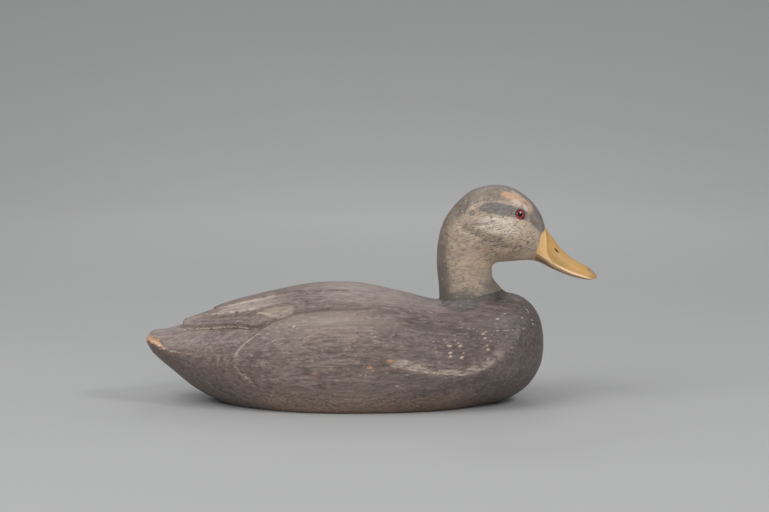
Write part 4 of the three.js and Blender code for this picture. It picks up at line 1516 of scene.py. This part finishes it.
# Painted highlight along the upper edge of the lower half of the bill.
jaw_highlight = lower_bill_shade * bump(from_mouth, -1.0, 2.0)
nail_mark = smooth(14.7, 15.2, u) * smooth(0.3, 0.7, turn)
nostril = np.zeros_like(u)
for side in (1, -1):
    oval, near, _ = nostril_oval(head_points, side)
    nostril = np.maximum(nostril, smooth(1.3, 0.7, oval) * near)
store(head, {
    "cap": cap, "crown": crown, "stripe": stripe, "stripe_blue": stripe_blue,
    "forehead": forehead, "mottle": mottle, "nape_dark": nape_dark, "foot_dark": foot_dark,
    "brow_pale": brow_pale, "brow_wood": brow_wood, "brow_red": brow_red,
    "brow_warm": brow_warm, "cheek_pale_and_highlight": cheek_pale_and_highlight, "cheek_warm": cheek_warm,
    "neck_pale_and_lit": neck_pale_and_lit, "neck_low": neck_low, "lined": lined, "cheek_line_shade": cheek_line_shade,
    "pink_chin": pink_chin, "pen_marks": pen_marks, "bill": bill, "side_wall_highlight": side_wall_highlight,
    "lip": lip, "lower_bill_shade": lower_bill_shade, "jaw_highlight": jaw_highlight, "nail": nail_mark,
    "nostril": nostril, "mouth": on_mouth(u, turn),
})
print("points on the bill:", int((bill > 0.5).sum()))

# %% [markdown]
# ## Finish: the head's old paint
# The base is a warm beige with grey showing through along the grain and in the cracks. The dark
# crown and stripe have soft, broken edges, because they were brushed on while the beige was still
# wet.

# %% Finish: the head's old paint
head_paint, tree, shader = new_finish("old beige paint")
spot = in_object(tree)
tilt = (0, math.radians(12), 0)
lying = put(tree, "Mapping", {"Vector": spot, "Rotation": tilt}).outputs[0]
streaks = placed(tree, grain, {"Vector": lying, "Fineness": 1.5})
crack_amount = spread(tree, mark(tree, "lined"), 0.3, 0.86)
cracks = placed(tree, crackle, {"Vector": lying, "Amount": crack_amount})["Cracks"]
clouds = cloudy(tree, spot, scale=75.0, detail=5.0, rough=0.65)
fine = cloudy(tree, stretched(tree, lying, (190, 300, 300)), detail=4.0, rough=0.7)
fray = maths(tree, "MULTIPLY", maths(tree, "SUBTRACT", clouds, 0.5), 1.6)


def frayed(name, low=0.25, high=0.75):
    """A stored mark with a broken, brushed edge."""
    return between(tree, maths(tree, "ADD", mark(tree, name), fray), low, high)


colour = two_paints(tree, between(tree, clouds, 0.38, 0.62), (196, 173, 150), (164, 147, 130))
colour = laid(tree, colour, [
    (streaks["Streaks"], (196, 178, 158), 0.4),
    # pale neck paint and painted light on the front of the neck and the throat
    (frayed("neck_pale_and_lit"), (206, 180, 154), 0.5),
    (frayed("neck_low", 0.1, 0.9), (158, 142, 126), 0.6),
    (frayed("cheek_warm", 0.1, 0.6), (206, 184, 160), 0.65),
    # pale cheek paint and a painted highlight on the cheek
    (frayed("cheek_pale_and_highlight", 0.1, 0.6), (226, 211, 196), 0.8),
    (frayed("crown", 0.2, 0.6), (136, 124, 113), 0.85),
    (between(tree, fine, 0.56, 0.7), (214, 198, 180), 0.5),
    (between(tree, fine, 0.44, 0.32), (108, 98, 88), 0.55),
    # painted shade under the line of the cheek
    (frayed("cheek_line_shade", 0.2, 0.9), (134, 122, 110), 0.55),
    (broken("mottle", 1.0, 0.004, 0.9), (104, 97, 88), 0.7),
    (frayed("nape_dark", 0.1, 0.9), (98, 92, 86), 0.72),
    (frayed("foot_dark", 0.1, 1.0), (107, 100, 94), 0.88),
    ("pink_chin", (196, 152, 126), 0.45),
    (frayed("forehead"), (122, 114, 108), 0.6),
    (frayed("cap"), (120, 114, 112), 0.85),
])
dark_stripe = two_paints(tree, streaks["Streaks"], (110, 104, 102), (134, 128, 126))
colour = layered(tree, frayed("stripe"), colour, dark_stripe, 0.82)
colour = laid(tree, colour, [
    ("stripe_blue", (134, 134, 138), 0.6),
    (streaks["Lines"], (96, 84, 76), 0.4),
    (cracks, (88, 74, 64), 0.66),
    (scattered(0.0034, 0.5), (82, 72, 66), 0.5),
    (scattered(0.003, 0.25, (1.1, 1.2, 1.3)), (220, 202, 186), 0.5),
    (frayed("brow_warm", 0.1, 0.9), (204, 170, 148), 0.6),
])
wood = placed(tree, bare_wood, {"Vector": spot})["Color"]
colour = layered(tree, broken("brow_wood", 1.2, 0.0022, 1.2), colour, wood, 0.75)
colour = laid(tree, colour, [
    ("brow_red", (150, 98, 92), 0.6),
    (frayed("brow_pale", 0.25, 1.1), (222, 205, 198), 0.6),
    ("pen_marks", (80, 74, 70), 0.7),
])
ochre = two_paints(tree, between(tree, clouds, 0.35, 0.65), (204, 158, 94), (182, 148, 86))
ochre = laid(tree, ochre, [
    (streaks["Lines"], (172, 128, 74), 0.3),
    # painted highlight on the bill's side wall
    ("side_wall_highlight", (244, 200, 138), 0.9),
    # painted highlight along the lip of the upper bill
    ("lip", (250, 212, 172), 0.9),
    (frayed("nail"), (150, 124, 104), 0.6),
    # painted shade on the lower half of the bill
    ("lower_bill_shade", (140, 114, 90), 1.0),
    # painted highlight along the edge of the lower half of the bill
    ("jaw_highlight", (200, 162, 120), 0.7),
    ("mouth", (120, 90, 64), 0.5),
    ("nostril", (72, 50, 20), 1.0),
])
on_bill = mark(tree, "bill")
colour = layered(tree, on_bill, colour, ochre)
relief = maths(tree, "SUBTRACT", streaks["Height"], maths(tree, "MULTIPLY", cracks, 1.2))
height = maths(tree, "MULTIPLY", relief, spread(tree, on_bill, 1.0, 0.2))
painted(tree, shader, colour, spread(tree, on_bill, 0.56, 0.42), height, 0.6, 0.0003)
shader.inputs["Specular IOR Level"].default_value = 0.4
head.data.materials.append(head_paint)
print("head paint nodes:", len(tree.nodes))

# %% [markdown]
# ## Finish: glass and iris
# The dome is clear glass, with plain values on the shader and the faint smears of age. The iris
# behind it runs from a black pupil to a bright red ring with fine spokes and on to a duller rim,
# so it reads the distance from the pupil that was stored when it was spun.

# %% Finish: glass and iris
PUPIL_SHARE = 0.52
PUPIL_BLACK = (0.006, 0.001, 0.001, 1)
GLASS_INDEX = 1.5
eye_glass, tree, shader = new_finish("clear eye glass")
shader.inputs["Base Color"].default_value = (1, 0.97, 0.95, 1)
shader.inputs["Transmission Weight"].default_value = 1.0
shader.inputs["IOR"].default_value = GLASS_INDEX
smear = cloudy(tree, in_object(tree), scale=900.0)
tree.links.new(spread(tree, smear, 0.1, 0.16), shader.inputs["Roughness"])

eye_iris, tree, shader = new_finish("painted iris")
away = mark(tree, "from_pupil")
spokes = cloudy(tree, stretched(tree, in_object(tree), (1500, 300, 1500)), detail=3.0)
red = two_paints(tree, between(tree, spokes, 0.35, 0.65), (168, 50, 60), (206, 88, 92))
red = laid(tree, red, [(between(tree, away, 0.8, 0.98), (146, 56, 62), 1.0)])
pupil = between(tree, away, PUPIL_SHARE + 0.05, PUPIL_SHARE - 0.03)
red = layered(tree, pupil, red, PUPIL_BLACK)
tree.links.new(red, shader.inputs["Base Color"])
shader.inputs["Roughness"].default_value = 0.6
shader.inputs["Specular IOR Level"].default_value = 0.1
for name in eyes:
    eyes[name].data.materials.append(eye_glass)
    irises[name].data.materials.append(eye_iris)
print("eye finishes:", eye_glass.name, eye_iris.name)

# %% [markdown]
# ## Finish: grey paper
# Plain pale paper with the faintest mottle, so that the floor has a surface and no pattern.

# %% Finish: grey paper
paper, tree, shader = new_finish("grey paper")
faint = cloudy(tree, in_object(tree), scale=2.0, detail=2.0)
grey = layered(tree, faint, (0.43, 0.43, 0.43, 1), (0.45, 0.45, 0.45, 1))
tree.links.new(grey, shader.inputs["Base Color"])
shader.inputs["Roughness"].default_value = 0.9
floor.data.materials.append(paper)
print("paper nodes:", len(tree.nodes))

# %% [markdown]
# ## Join the pieces to the part
# Every piece rides on the part's one body and says which node it stands for, which is then hidden.

# %% Join the pieces to the part
for piece, slot_name, nodes in (
    (body, "body_paint", ["body"]),
    (head, "head_paint", ["head"]),
    (eyes["right"], "eye_glass", ["eye_right"]),
    (eyes["left"], "eye_glass", ["eye_left"]),
    (irises["right"], "eye_glass", []),
    (irises["left"], "eye_glass", []),
):
    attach(piece, "root")
    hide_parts(*nodes)
    print(piece.name, "stands for", nodes or "nothing of its own")
